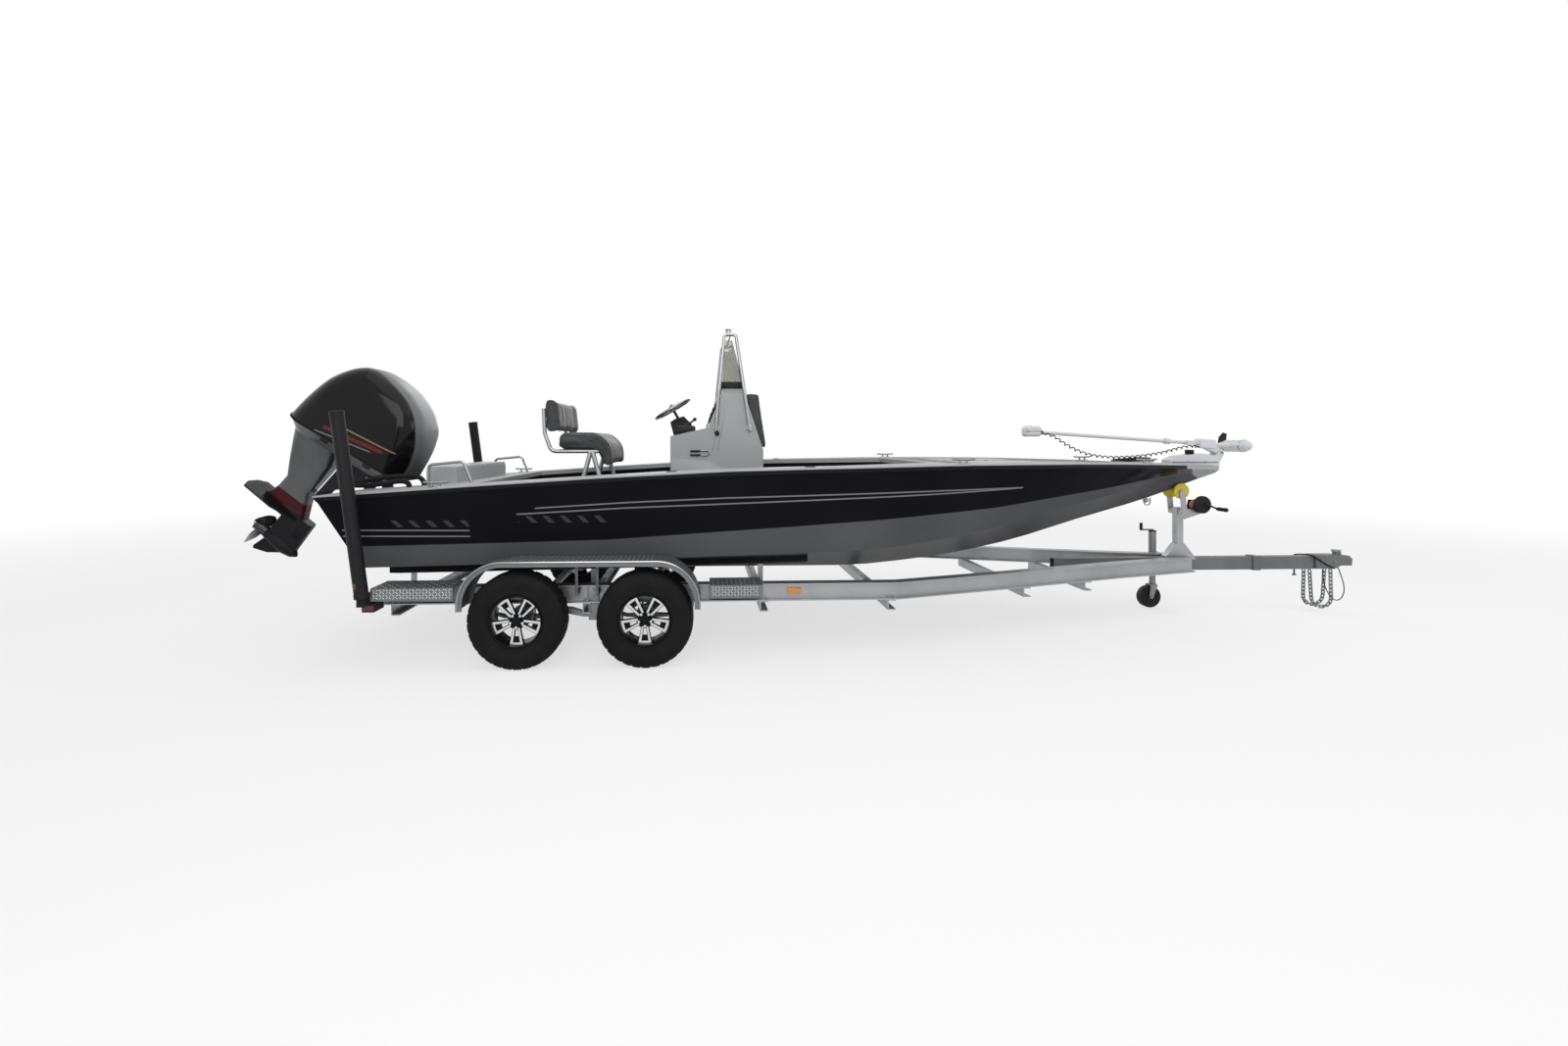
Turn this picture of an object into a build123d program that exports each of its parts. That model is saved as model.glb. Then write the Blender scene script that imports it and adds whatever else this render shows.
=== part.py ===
"""Bay boat with an outboard and a bow motor, standing on its tandem-axle trailer.

Millimetres. X runs forward to the bow, Y to port, Z up, and the floor is Z = 0.
"""
import os
from math import atan2, ceil, cos, degrees, radians, sin

from build123d import *

os.makedirs("parts", exist_ok=True)

# Clearances
SEAT = 0.3          # gap between two pieces that only rest on each other
RUN = 0.05          # radial gap of a shaft in its bore

# Hull, one row a station: x, keel z, chine y, chine z, sheer y, sheer z
HULL_ROWS = (
    (-3660, 465, 1010, 665, 1150, 1195),
    (-2180, 465, 1030, 700, 1210, 1297),
    (-780, 465, 1030, 740, 1220, 1372),
    (220, 465, 975, 765, 1185, 1393),
    (1020, 533, 850, 852, 1085, 1406),
    (1720, 663, 650, 990, 935, 1406),
    (2420, 868, 450, 1117, 675, 1396),
    (3070, 1054, 190, 1230, 385, 1378),
    (3520, 1215, 60, 1283, 150, 1364),
    (3730, 1285, 14, 1297, 26, 1346),
)
HULL_PARTS = 3       # stations made between one row and the next
CHINE_SHARE = 0.93   # where the chine flat starts, as a share of the chine's width
CHINE_STEP = 0.03    # how far the flat lies below the chine, as a share of its rise
CAP_THICK = 40
CAP_LIP = 12
TRANSOM_TOP = (-3660, 1195)
TRANSOM_FOOT = (-3310, 465)

# Cockpit and wells
SOLE_Z = 800
DECK_CUT_TOP = 1600  # top of every cut that opens upwards
WELL_AFT, WELL_BEND, WELL_FRONT = -2630, 0, 800
WELL_HALF, WELL_FRONT_HALF = 930, 700
MOTOR_WELL_FRONT, MOTOR_WELL_HALF, MOTOR_WELL_Z = -3150, 560, 1000

# Lids: bow pair over two lockers, one over the stern box
LID_THICK = 25
LID_CORNER = 30
KNUCKLE = 6          # radius of a lid's hinge knuckles
KNUCKLE_LENGTH = 64
BOW_LID_X = (1150, 1870)
BOW_LID_Y = (80, 600)
# Sunken bow deck: x, half width
BOW_FLOOR_PLAN = ((900, 840), (1720, 760), (2650, 400))
BOW_FLOOR_DEPTH = 30
LOCKER_Z = 1110
LOCKER_RIM = 30
STERN_BOX_X = (-3120, -2890)
STERN_BOX_HALF = 620
STERN_BOX_Z = 1350

# Console
CONSOLE_HALF = 420
CONSOLE_OUTLINE = (
    (-1245, SOLE_Z), (-1245, 1614), (-940, 1683), (-820, 1973), (-637, 1973),
    (-480, 1502), (-480, 1230), (-60, 1230), (-30, 1200), (-30, SOLE_Z),
)
FRONT_PAD = ((-636.7, 1974), (-520, 1974), (-450, 1512), (-479.7, 1503))
FRONT_PAD_HALF = 370
FRONT_CUSHION_X = (-470, -40)
FRONT_CUSHION_THICK = 90
SHIELD_BASE_Z = 2050
SHIELD_TOP_Z = 2415
SHIELD_HALF = 350
SHIELD_THICK = 8
RAIL_TUBE = 14
LIGHT_TOP_Z = 2567

# Helm
WHEEL_CENTRE = (-1244, 1857)
WHEEL_LEAN = 60
WHEEL_RADIUS = 166
WHEEL_RIM = 14
HELM_SHAFT = 12
HELM_POD = (
    (-1230, 1617.7), (-1262, 1739), (-1223, 1765), (-1145, 1791), (-1076, 1722), (-1102, 1646.7),
)
HELM_POD_HALF = 110

# Leaning post
POST_HALF = 400
POST_TUBE = 19
POST_RAIL = 16
POST_RAIL_Z = 1490.7
CUSHION_HALF = 450
POST_CUSHION = (
    (-2160, 1507), (-2160, 1625), (-2120, 1642), (-1760, 1642), (-1724, 1606),
    (-1722, 1351), (-1790, 1351), (-1806, 1507),
)
POST_BACK = ((-2247, 1632), (-2262, 1925), (-2175, 1925), (-2145, 1645))

# Outboard, in its own upright frame: origin on the tilt axis, z up the drive shaft
TILT_AXIS = (-3790, 1240)
REST_TILT = 41
STEER_X = -270
SEAM_POINT = (-350, 97)
SEAM_SLOPE = 9
COWL_WALL = 10
# Cowl sections above the seam: height, rear, front, half width
COWL_SECTIONS = (
    (0, -511, 566, 290), (200, -466, 554, 314), (400, -404, 512, 306),
    (540, -322, 405, 272), (640, -222, 235, 205), (684, -90, 60, 95),
)
PAN_DEPTH = 95
POWERHEAD_X = (-300, 330)
POWERHEAD_HALF = 170
POWERHEAD_TOP = 470
# Mid-section below the pan: z, rear, front, half width
LEG_SECTIONS = (
    (30, -835, -400, 190), (-170, -748, -352, 125), (-320, -670, -346, 92),
    (-450, -590, -344, 78), (-560, -590, -290, 74), (-660, -615, -235, 70),
)
PLATE_Z = -700
PLATE_X = (-796, -250)
PLATE_HALF = 150
PROP_Z = -950
PROP_SHAFT = 14
PROP_FACE = -405
PROP_BLADES = 3
PROP_HUB = 112
PROP_GAP = 6
GEAR_RADIUS = 62
# Propeller blade: radius, chord, thickness, pitch angle
BLADE_SECTIONS = (
    (44, 96, 12, 58), (86, 146, 9, 44), (122, 156, 7, 35), (154, 116, 5, 29), (172, 40, 3, 26),
)
SWIVEL_TUBE = 48
SWIVEL_SHAFT = 20
SWIVEL_Z = (-420, -2)
TILT_TUBE = 26
CLAMP_Y = (140, 168)
CLAMP_FACE = -3722
JACK_PLATE_Y = (96, 122)
JACK_PLATE_Z = (640, 985)

# Bow motor
BOW_PIVOT = (3750, 1470)
SHAFT_AFT = (2060, 1655)
POD_CENTRE = (3920, 1530)
BOW_MOUNT_X = (3262, 3720)
SHAFT_RADIUS = 16
POD_RADIUS = 55
POD_LENGTH = 330
# Bow motor blade: radius, chord, thickness, pitch angle
BOW_BLADE_SECTIONS = ((24, 42, 9, 62), (80, 62, 6, 42), (133, 34, 3, 30))
CURLY_RADIUS = 11
PIVOT_PIN = 8

# Trailer frame
RAIL_BOTTOM = 400
RAIL_HEIGHT = 127
RAIL_FLANGE = 100
RAIL_WEB = 10
# Rail centreline: x, y
RAIL_LINE = ((-3280, 950), (470, 950), (1420, 670), (2620, 300), (3430, 88.3))
CROSS_X = (-3180, -1820, -530, 420, 1620, 2240)
CROSS_HEIGHT = 76
CROSS_WIDTH = 60
TONGUE_X = (2190, 4760)
TONGUE_HALF = 38
TONGUE_Z = (400, 515)
SLEEVE_X = (4050, 4120)
SLEEVE_WALL = 7
BUNK_X = (-3330, -170)
BUNK_Y = 700
BUNK_HALF = 70
BUNK_THICK = 45

# Running gear
WHEEL_X = (-2260, -1380)
TYRE_RADIUS = 336
TYRE_HALF = 102
TYRE_BORE = 178
WHEEL_OUTER_Y = 1268
SPINDLE = 19
HUB_RADIUS = 56
HUB_BACK = 50
HUB_FRONT = 68
HUB_CAP = 6
AXLE_TUBE = 30
RIM_SPOKES = 5
RIM_TURN = 54        # angle of the first spoke
RIM_OPEN = 165       # radius that the windows reach
SPRING_Y = 930
SPRING_HALF_SPAN = 300
SPRING_PIN = 8
SPRING_WIDTH = 45
EYE_Z = 335
FENDER_Y = (1050, 1290)
FENDER_X = (-2646, -997)
FENDER_TOP = 755
FENDER_FOOT = 420
FENDER_SKIN = 5
FENDER_LIP = 38
FENDER_BEND = 140
FENDER_RAKE = 22     # how far an end leans in from foot to top
STEP_Z = 575
STEP_Y = (1000.3, 1250)
STEP_X = ((-3230, -2680), (-930, -560))
STEP_LIP = 88
GUIDE_Y = 1280
GUIDE_RADIUS = 45
GUIDE_FOOT = (-3270, 520)
GUIDE_TOP = (-3435, 1770)

# Trailer front
POST_X = 3370
WINCH_POST_TOP = 970
ROLLER_X = 3340
ROLLER_GROOVE = 30
ROLLER_END = 70
ROLLER_HALF = 75
WINCH_X, WINCH_Z = 3545, 990
WINCH_DRUM = 34
JACK_X, JACK_Y = 3290, 222
JACK_SLEEVE = 32
JACK_TUBE = 26
JACK_TOP = 720
JACK_SLEEVE_FOOT = 370
JACK_LEG_FOOT = 212
JACK_WHEEL = 101.5
JACK_TRAIL = 38
COUPLER_X = (4640, 4990)
BALL_RADIUS = 25.6
CHAIN_WIRE = 8
LINK_LENGTH, LINK_WIDTH = 36, 17     # inside a link
LINK_CORNER = 3
LINK_SLACK = 0.6
CHAIN_FOOT = 55
BALL_Z = 445

MIN_Z = (Align.CENTER, Align.CENTER, Align.MIN)


def row_slopes(rows, column):
    """Slope of one column at each row, level where the column turns back."""
    runs = []
    for low, high in zip(rows, rows[1:]):
        runs.append((high[column] - low[column]) / (high[0] - low[0]))
    slopes = [runs[0]]
    for before, after in zip(runs, runs[1:]):
        slopes.append(2 * before * after / (before + after) if before * after > 0 else 0)
    return slopes + [runs[-1]]


def eased(rows, parts):
    """Table with rows added between its rows, on smooth curves through them."""
    columns = range(1, len(rows[0]))
    slopes = {column: row_slopes(rows, column) for column in columns}
    table = []
    for index, (low, high) in enumerate(zip(rows, rows[1:])):
        run = high[0] - low[0]
        for part in range(parts):
            t = part / parts
            row = [low[0] + t * run]
            for column in columns:
                start, end = slopes[column][index], slopes[column][index + 1]
                row.append(
                    (1 + 2 * t) * (1 - t) ** 2 * low[column] + t ** 2 * (3 - 2 * t) * high[column]
                    + t * (1 - t) * run * ((1 - t) * start - t * end)
                )
            table.append(tuple(row))
    return tuple(table) + (tuple(rows[-1]),)


HULL_STATIONS = eased(HULL_ROWS, HULL_PARTS)


def block(x, y, z):
    """Box between its low and high corners, one pair for each axis."""
    centre = Pos((x[0] + x[1]) / 2, (y[0] + y[1]) / 2, (z[0] + z[1]) / 2)
    return centre * Box(x[1] - x[0], y[1] - y[0], z[1] - z[0])


def side_plate(points, y_low, y_high):
    """Plate with an outline of (x, z) points, between two heights in Y."""
    face = make_face(Polyline(*points, close=True))
    return extrude(Plane.XZ.offset(-y_low) * face, -(y_high - y_low))


def plan_plate(points, z_low, z_high):
    """Plate with an outline of (x, y) points, between two heights in Z."""
    face = make_face(Polyline(*points, close=True))
    return Pos(0, 0, z_low) * extrude(face, z_high - z_low)


def rod(start, end, radius):
    """Round bar from one point to another."""
    start, end = Vector(*start), Vector(*end)
    run = end - start
    return Plane(origin=start, z_dir=run.normalized()) * Cylinder(radius, run.length, align=MIN_Z)


def cross_rod(x, z, radius, y_low, y_high):
    """Round bar across the boat."""
    return rod((x, y_low, z), (x, y_high, z), radius)


def pipe(points, radius, bends):
    """Tube-shaped bar along runs that are joined by arcs."""
    path = FilletPolyline(*points, radius=bends)
    return sweep(Plane(origin=path @ 0, z_dir=path % 0) * Circle(radius), path=path)


def both_sides(shape):
    """The shape and its mirror image on the other side."""
    return shape + mirror(shape, Plane.XZ)


def apart_on_both_sides(shape):
    """The shape and its mirror image as separate solids."""
    return Compound(children=[shape, mirror(shape, Plane.XZ)])


def level(table, x, column):
    """Value of one column of a station table at x."""
    for low, high in zip(table, table[1:]):
        if x <= high[0]:
            share = (x - low[0]) / (high[0] - low[0])
            return low[column] + share * (high[column] - low[column])
    return table[-1][column]


def deck_z(x):
    """Height of the deck at x."""
    return level(HULL_STATIONS, x, 5)


def keel_z(x):
    """Height of the keel line at x."""
    return level(HULL_STATIONS, x, 1)


def blade(sections, sweep_back=0.0):
    """One propeller blade on the Z axis, from its root to its tip."""
    faces = []
    for radius, chord, thick, pitch in sections:
        half = chord / 2
        outline = Polyline((-half, 0), (0, -thick / 2), (half, 0), (0, thick / 2), close=True)
        face = Rot(0, 0, 90 - pitch) * make_face(outline)
        faces.append(Pos(sweep_back * radius, 0, radius) * face)
    return loft(faces, ruled=True)


# Hull and decks

def hull_section(station):
    """Closed outline of the hull below the deck moulding at one station."""
    x, keel, chine_y, chine_z, sheer_y, sheer_z = station
    top = sheer_z - CAP_THICK
    flat = chine_y * CHINE_SHARE
    step = (chine_z - keel) * CHINE_STEP
    half = ((0, keel), (flat, chine_z - step), (chine_y, chine_z), (sheer_y, top))
    other = tuple((-y, z) for y, z in reversed(half[1:]))
    return Pos(x, 0, 0) * (Plane.YZ * make_face(Polyline(*half, *other, close=True)))


def cap_section(station, grow):
    """Flat outline of the deck moulding at one station."""
    x, _, _, _, sheer_y, sheer_z = station
    half = sheer_y + grow
    outline = Polyline(
        (-half, sheer_z - CAP_THICK), (half, sheer_z - CAP_THICK), (half, sheer_z), (-half, sheer_z),
        close=True,
    )
    return Pos(x, 0, 0) * (Plane.YZ * make_face(outline))


def well_cut():
    """Cockpit space from the sole up."""
    plan = [
        (WELL_AFT, WELL_HALF), (WELL_BEND, WELL_HALF), (WELL_FRONT, WELL_FRONT_HALF),
        (WELL_FRONT, -WELL_FRONT_HALF), (WELL_BEND, -WELL_HALF), (WELL_AFT, -WELL_HALF),
    ]
    return plan_plate(plan, SOLE_Z, DECK_CUT_TOP)


def motor_well_cut():
    """Open well in front of the outboard."""
    x = (TRANSOM_TOP[0] - DECK_CUT_TOP, MOTOR_WELL_FRONT)
    return block(x, (-MOTOR_WELL_HALF, MOTOR_WELL_HALF), (MOTOR_WELL_Z, DECK_CUT_TOP))


def transom_cut():
    """What lies behind the raked transom."""
    rake = (TRANSOM_FOOT[0] - TRANSOM_TOP[0]) / (TRANSOM_TOP[1] - TRANSOM_FOOT[1])
    high, low = DECK_CUT_TOP, 0
    aft = TRANSOM_TOP[0] - high
    points = (
        (aft, high), (TRANSOM_TOP[0] - rake * (high - TRANSOM_TOP[1]), high),
        (TRANSOM_FOOT[0] + rake * (TRANSOM_FOOT[1] - low), low), (aft, low),
    )
    half = 2 * HULL_ROWS[0][4]
    return side_plate(points, -half, half)


def locker_cut(side):
    """Locker space below one bow lid."""
    x = (BOW_LID_X[0] + LOCKER_RIM, BOW_LID_X[1] - LOCKER_RIM)
    y = sorted((side * (BOW_LID_Y[0] + LOCKER_RIM), side * (BOW_LID_Y[1] - LOCKER_RIM)))
    return block(x, y, (LOCKER_Z, DECK_CUT_TOP))


def bow_floor_z():
    """Height of the sunken bow deck."""
    return deck_z((BOW_LID_X[0] + BOW_LID_X[1]) / 2) - BOW_FLOOR_DEPTH


def bow_floor_cut():
    """Space above the sunken bow deck."""
    port = list(BOW_FLOOR_PLAN)
    starboard = [(x, -y) for x, y in reversed(port)]
    return plan_plate(port + starboard, bow_floor_z(), DECK_CUT_TOP)


def make_hull():
    """Hull with its cockpit, motor well and bow lockers."""
    body = loft([hull_section(s) for s in HULL_STATIONS], ruled=True)
    body = body - transom_cut() - well_cut() - motor_well_cut()
    for side in (-1, 1):
        body = body - locker_cut(side)
    return body


def make_deck():
    """Deck moulding: gunwales, bow deck, aft deck and the stern box."""
    deck = loft([cap_section(s, CAP_LIP) for s in HULL_STATIONS], ruled=True)
    deck = deck - transom_cut() - well_cut() - motor_well_cut()
    deck = deck - bow_floor_cut()
    for side in (-1, 1):
        deck = deck - locker_cut(side)
    low = deck_z(STERN_BOX_X[0]) - CAP_THICK / 2
    coaming = block(STERN_BOX_X, (-STERN_BOX_HALF, STERN_BOX_HALF), (low, STERN_BOX_Z))
    inside = block(
        (STERN_BOX_X[0] + LOCKER_RIM, STERN_BOX_X[1] - LOCKER_RIM),
        (-STERN_BOX_HALF + LOCKER_RIM, STERN_BOX_HALF - LOCKER_RIM),
        (deck_z(STERN_BOX_X[0]) + 2, STERN_BOX_Z + 1),
    )
    return deck + coaming - inside


def make_bow_lid(side):
    """Flat lid of one bow locker, with the knuckles of its two hinges."""
    y = sorted((side * BOW_LID_Y[0], side * BOW_LID_Y[1]))
    low = bow_floor_z() + SEAT
    lid = block(BOW_LID_X, y, (low, low + LID_THICK))
    lid = fillet(lid.edges().filter_by(Axis.Z), LID_CORNER)
    edge, pin = side * BOW_LID_Y[1], low + KNUCKLE
    for share in (0.2, 0.8):
        x = BOW_LID_X[0] + share * (BOW_LID_X[1] - BOW_LID_X[0])
        lid = lid + rod((x - KNUCKLE_LENGTH / 2, edge, pin), (x + KNUCKLE_LENGTH / 2, edge, pin), KNUCKLE)
    return lid


def make_stern_lid():
    """Lid of the stern box, with the knuckles of its three hinges."""
    z = (STERN_BOX_Z + SEAT, STERN_BOX_Z + SEAT + LID_THICK)
    lid = block(STERN_BOX_X, (-STERN_BOX_HALF, STERN_BOX_HALF), z)
    lid = fillet(lid.edges().filter_by(Axis.Z), LID_CORNER)
    for share in (-0.75, 0, 0.75):
        y = share * STERN_BOX_HALF
        lid = lid + cross_rod(
            STERN_BOX_X[1], z[0] + KNUCKLE, KNUCKLE, y - KNUCKLE_LENGTH / 2, y + KNUCKLE_LENGTH / 2,
        )
    return lid


def make_stern_rail():
    """Low hand rail beside the stern box, one each side."""
    y = 780
    points = (
        (-3040, y, deck_z(-3040) + 2), (-3040, y, 1395), (-2780, y, 1420), (-2720, y, deck_z(-2720) + 4),
    )
    return apart_on_both_sides(pipe(points, 11, 35))


def make_rigging_hose():
    """Thick hose that loops out of the aft deck and back."""
    y = -640
    points = (
        (-3130, y, deck_z(-3130) + 2), (-3130, y, 1305), (-3330, y - 20, 1305),
        (-3590, y - 60, 1270), (-3610, y - 190, 1245), (-3380, y - 215, 1250),
        (-3175, y - 150, 1290), (-3175, y - 150, deck_z(-3175) + 2),
    )
    return pipe(points, 19, (30, 80, 90, 60, 60, 30))


# Console and helm

def make_console():
    """Console with the front seat base and the plinth under the windshield."""
    body = side_plate(CONSOLE_OUTLINE, -CONSOLE_HALF, CONSOLE_HALF)
    body = fillet(body.edges().filter_by(Axis.Y), 12)
    plinth = block((-815, -640), (-SHIELD_HALF, SHIELD_HALF), (1960, SHIELD_BASE_Z))
    return body + plinth


def make_front_pad():
    """Backrest pad on the front of the console."""
    return side_plate(FRONT_PAD, -FRONT_PAD_HALF, FRONT_PAD_HALF)


def make_front_cushion():
    """Cushion on the front seat base."""
    z = (1230 + SEAT, 1230 + FRONT_CUSHION_THICK)
    low, high = FRONT_CUSHION_X
    points = ((low, z[0]), (low, z[1]), (high, z[1] - 10), (high, z[0]))
    return side_plate(points, -FRONT_PAD_HALF, FRONT_PAD_HALF)


def make_windshield():
    """Clear shield: a raked front pane and two side panes."""
    low, high = SHIELD_BASE_Z, SHIELD_TOP_Z
    front = (
        (-640, low), (-640 - SHIELD_THICK, low), (-735 - SHIELD_THICK, high), (-735, high),
    )
    side = ((-812, low), (-648, low), (-743, high), (-798, high))
    pane = side_plate(front, -SHIELD_HALF, SHIELD_HALF)
    wing = side_plate(side, SHIELD_HALF - SHIELD_THICK, SHIELD_HALF)
    return pane + both_sides(wing)


def make_console_rails():
    """Grab rails at both sides of the shield, a cross bar and the light on its pole."""
    top = SHIELD_TOP_Z + 45
    out, inner = CONSOLE_HALF + RAIL_TUBE, SHIELD_HALF - 20
    points = (
        (-872, out + 2, 1660), (-846, out + 2, 2000), (-800, inner + 35, top),
        (-705, inner + 35, top), (-640, out + 2, 2000), (-593, out + 2, 1660),
    )
    side = pipe(points, RAIL_TUBE, (90, 30, 30, 90))
    for x, z in ((-870, 1690), (-596, 1690)):
        side = side + block((x - 20, x + 20), (CONSOLE_HALF + SEAT, out), (z - 20, z + 20))
    bar = rod((-752, -inner - 35, top), (-752, inner + 35, top), RAIL_TUBE - 2)
    pole = rod((-752, 0, top), (-752, 0, LIGHT_TOP_Z - 40), 9)
    lamp = Pos(-752, 0, LIGHT_TOP_Z - 42) * Cylinder(24, 42, align=MIN_Z)
    return both_sides(side) + bar + pole + lamp


def helm_point(along):
    """Point on the steering wheel's axis, a distance below its centre."""
    lean = radians(WHEEL_LEAN)
    return (WHEEL_CENTRE[0] + along * cos(lean), 0, WHEEL_CENTRE[1] - along * sin(lean))


def make_helm():
    """Helm pod with its gauges' housing and the steering shaft."""
    pod = side_plate(HELM_POD, -HELM_POD_HALF, HELM_POD_HALF)
    return pod + rod(helm_point(-12), helm_point(120), HELM_SHAFT)


def make_steering_wheel():
    """Wheel with three spokes, a hub and a knob."""
    rim = Torus(WHEEL_RADIUS, WHEEL_RIM)
    hub = Cylinder(34, 36)
    wheel = rim + hub
    for turn in (90, 210, 330):
        wheel = wheel + Rot(0, 0, turn) * (Pos(WHEEL_RADIUS / 2, 0, 0) * Box(WHEEL_RADIUS, 34, 7))
    wheel = wheel - Pos(0, 0, -20) * Cylinder(HELM_SHAFT + RUN, 34, align=MIN_Z)
    wheel = wheel + Pos(WHEEL_RADIUS, 0, 8) * Cylinder(9, 50, align=MIN_Z)
    lean = radians(WHEEL_LEAN)
    centre = Vector(WHEEL_CENTRE[0], 0, WHEEL_CENTRE[1])
    up = Vector(-cos(lean), 0, sin(lean))
    return Plane(origin=centre, x_dir=(0, 1, 0), z_dir=up) * wheel


# Leaning post

def make_post_frame():
    """Tube frame of the leaning post."""
    frame = None
    for side in (-1, 1):
        y = side * POST_HALF
        legs = rod((-2086, y, SOLE_Z - 20), (-1897, y, POST_RAIL_Z - 3), POST_TUBE)
        legs = legs + rod((-1694, y, SOLE_Z - 20), (-1880, y, POST_RAIL_Z - 3), POST_TUBE)
        legs = legs - block((-2300, -1500), (y - 60, y + 60), (SOLE_Z - 80, SOLE_Z + SEAT))
        back = pipe(
            ((-2277, y, 1840), (-2267, y, 1640), (-2215, y, POST_RAIL_Z), (-1830, y, POST_RAIL_Z)),
            POST_RAIL, (60, 60),
        )
        frame = legs + back if frame is None else frame + legs + back
    for x, z in ((-2180, POST_RAIL_Z), (-1850, POST_RAIL_Z), (-2020, 1030)):
        frame = frame + cross_rod(x, z, POST_TUBE - 4, -POST_HALF, POST_HALF)
    return frame


def make_post_cushion():
    """Cushion of the leaning post with its front roll."""
    return side_plate(POST_CUSHION, -CUSHION_HALF, CUSHION_HALF)


def make_post_back():
    """Backrest of the leaning post."""
    return side_plate(POST_BACK, -CUSHION_HALF, CUSHION_HALF)


# Outboard

def at_rest(shape):
    """Shape from the outboard's upright frame to its place at rest."""
    return Pos(TILT_AXIS[0], 0, TILT_AXIS[1]) * (Rot(0, REST_TILT, 0) * shape)


def rounded_section(rear, front, half, height):
    """Rounded rectangle lying flat at a height."""
    corner = min(half * 0.62, (front - rear) * 0.31)
    face = RectangleRounded(front - rear, 2 * half, corner)
    return Pos((rear + front) / 2, 0, height) * face


def cowl_place(shape):
    """Shape from the cowl's frame, on its sloping seam, to the outboard's frame."""
    return Pos(SEAM_POINT[0], 0, SEAM_POINT[1]) * (Rot(0, -SEAM_SLOPE, 0) * shape)


def cowl_loft(inset):
    """Closed form of the cowl, made smaller by an inset."""
    faces = []
    for height, rear, front, half in COWL_SECTIONS:
        faces.append(rounded_section(rear + inset, front - inset, half - inset, height - inset))
    return loft(faces)


def make_cowl():
    """Hollow cowl, open at its seam."""
    floor = Pos(0, 0, -200) * Box(2000, 1000, 400 + 2 * SEAT)
    shell = cowl_loft(0) - cowl_loft(COWL_WALL) - floor
    return at_rest(cowl_place(shell))


def make_powerhead():
    """Engine as one plain block inside the cowl."""
    half = POWERHEAD_HALF
    return at_rest(cowl_place(block(POWERHEAD_X, (-half, half), (-50, POWERHEAD_TOP))))


def make_midsection():
    """Engine pan, drive shaft housing and the steering shaft."""
    pan = loft([
        rounded_section(-440, 440, 205, -PAN_DEPTH), rounded_section(-511, 566, 288, -SEAT),
    ])
    opening = Pos(0, 0, -50 - SEAT) * Box(720, 420, 60, align=MIN_Z)
    above = Pos(0, 0, -SEAT) * Box(2000, 1000, 500, align=MIN_Z)
    space = cowl_place(opening + above)
    pan = cowl_place(pan)
    leg = loft([rounded_section(r, f, h, z) for z, r, f, h in LEG_SECTIONS], ruled=True)
    shaft = rod((STEER_X, 0, SWIVEL_Z[0] - 45), (STEER_X, 0, 40), SWIVEL_SHAFT)
    yoke = block((STEER_X - 120, STEER_X + 34), (-45, 45), (SWIVEL_Z[0] - 50, SWIVEL_Z[0] - 8))
    return at_rest(pan + leg + shaft + yoke - space)


def make_gearcase():
    """Lower unit: plate, strut, torpedo and skeg."""
    strut = loft([
        rounded_section(-640, -150, 52, -660.3), rounded_section(-600, -120, 34, PROP_Z),
    ], ruled=True)
    plate = plan_plate(
        ((PLATE_X[0], -60), (PLATE_X[0] + 40, -PLATE_HALF), (-480, -PLATE_HALF), (-300, -70),
         (PLATE_X[1], -30), (PLATE_X[1], 30), (-300, 70), (-480, PLATE_HALF),
         (PLATE_X[0] + 40, PLATE_HALF), (PLATE_X[0], 60)),
        PLATE_Z - 6, PLATE_Z + 6,
    )
    profile = Polyline(
        (PROP_FACE, 0), (PROP_FACE, 50), (-330, GEAR_RADIUS), (-210, GEAR_RADIUS),
        (-130, 42), (-92, 14), (-84, 0), close=True,
    )
    torpedo = revolve(Plane.XY * make_face(profile), Axis.X)
    torpedo = Pos(0, 0, PROP_Z) * torpedo
    skeg = side_plate(
        ((-395, PROP_Z - 30), (-160, PROP_Z - 20), (-300, -1085), (-412, -1132), (-427, -1112)),
        -6, 6,
    )
    shaft = rod((PROP_FACE - PROP_HUB - 4, 0, PROP_Z), (PROP_FACE + 10, 0, PROP_Z), PROP_SHAFT)
    trimmed = strut - block((-900, PROP_FACE + 2), (-200, 200), (PROP_Z - 50, -745))
    return at_rest(trimmed + plate + torpedo + skeg + shaft)


def make_propeller():
    """Three-bladed propeller on its hub."""
    hub = Cylinder(48, PROP_HUB)
    prop = hub
    for index in range(PROP_BLADES):
        turn = Rot(0, 0, index * 360 / PROP_BLADES + 90)
        prop = prop + turn * (Rot(0, 90, 0) * blade(BLADE_SECTIONS))
    prop = prop - Cylinder(PROP_SHAFT + RUN, 200)
    centre = Pos(PROP_FACE - PROP_GAP - PROP_HUB / 2, 0, PROP_Z) * Rot(0, 90, 0)
    return at_rest(centre * prop)


def make_swivel():
    """Swivel bracket between the clamp brackets, with its steering bore."""
    tube = rod((STEER_X, 0, SWIVEL_Z[0]), (STEER_X, 0, SWIVEL_Z[1]), SWIVEL_TUBE)
    arm = side_plate(
        ((STEER_X - 10, SWIVEL_Z[1]), (-30, 24), (34, 0), (-20, -52), (-150, -230),
         (STEER_X - 10, -380)), 62, 92,
    )
    web = side_plate(
        ((STEER_X, -20), (-90, -20), (-160, -200), (STEER_X, -340)), -92, 92,
    )
    knuckle = cross_rod(0, 0, 42, -134, 134)
    body = tube + both_sides(arm) + web + knuckle
    body = body - cross_rod(0, 0, TILT_TUBE + RUN, -200, 200)
    bore = rod((STEER_X, 0, SWIVEL_Z[0] - 10), (STEER_X, 0, SWIVEL_Z[1] + 90), SWIVEL_SHAFT + RUN)
    return at_rest(body - bore)


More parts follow.
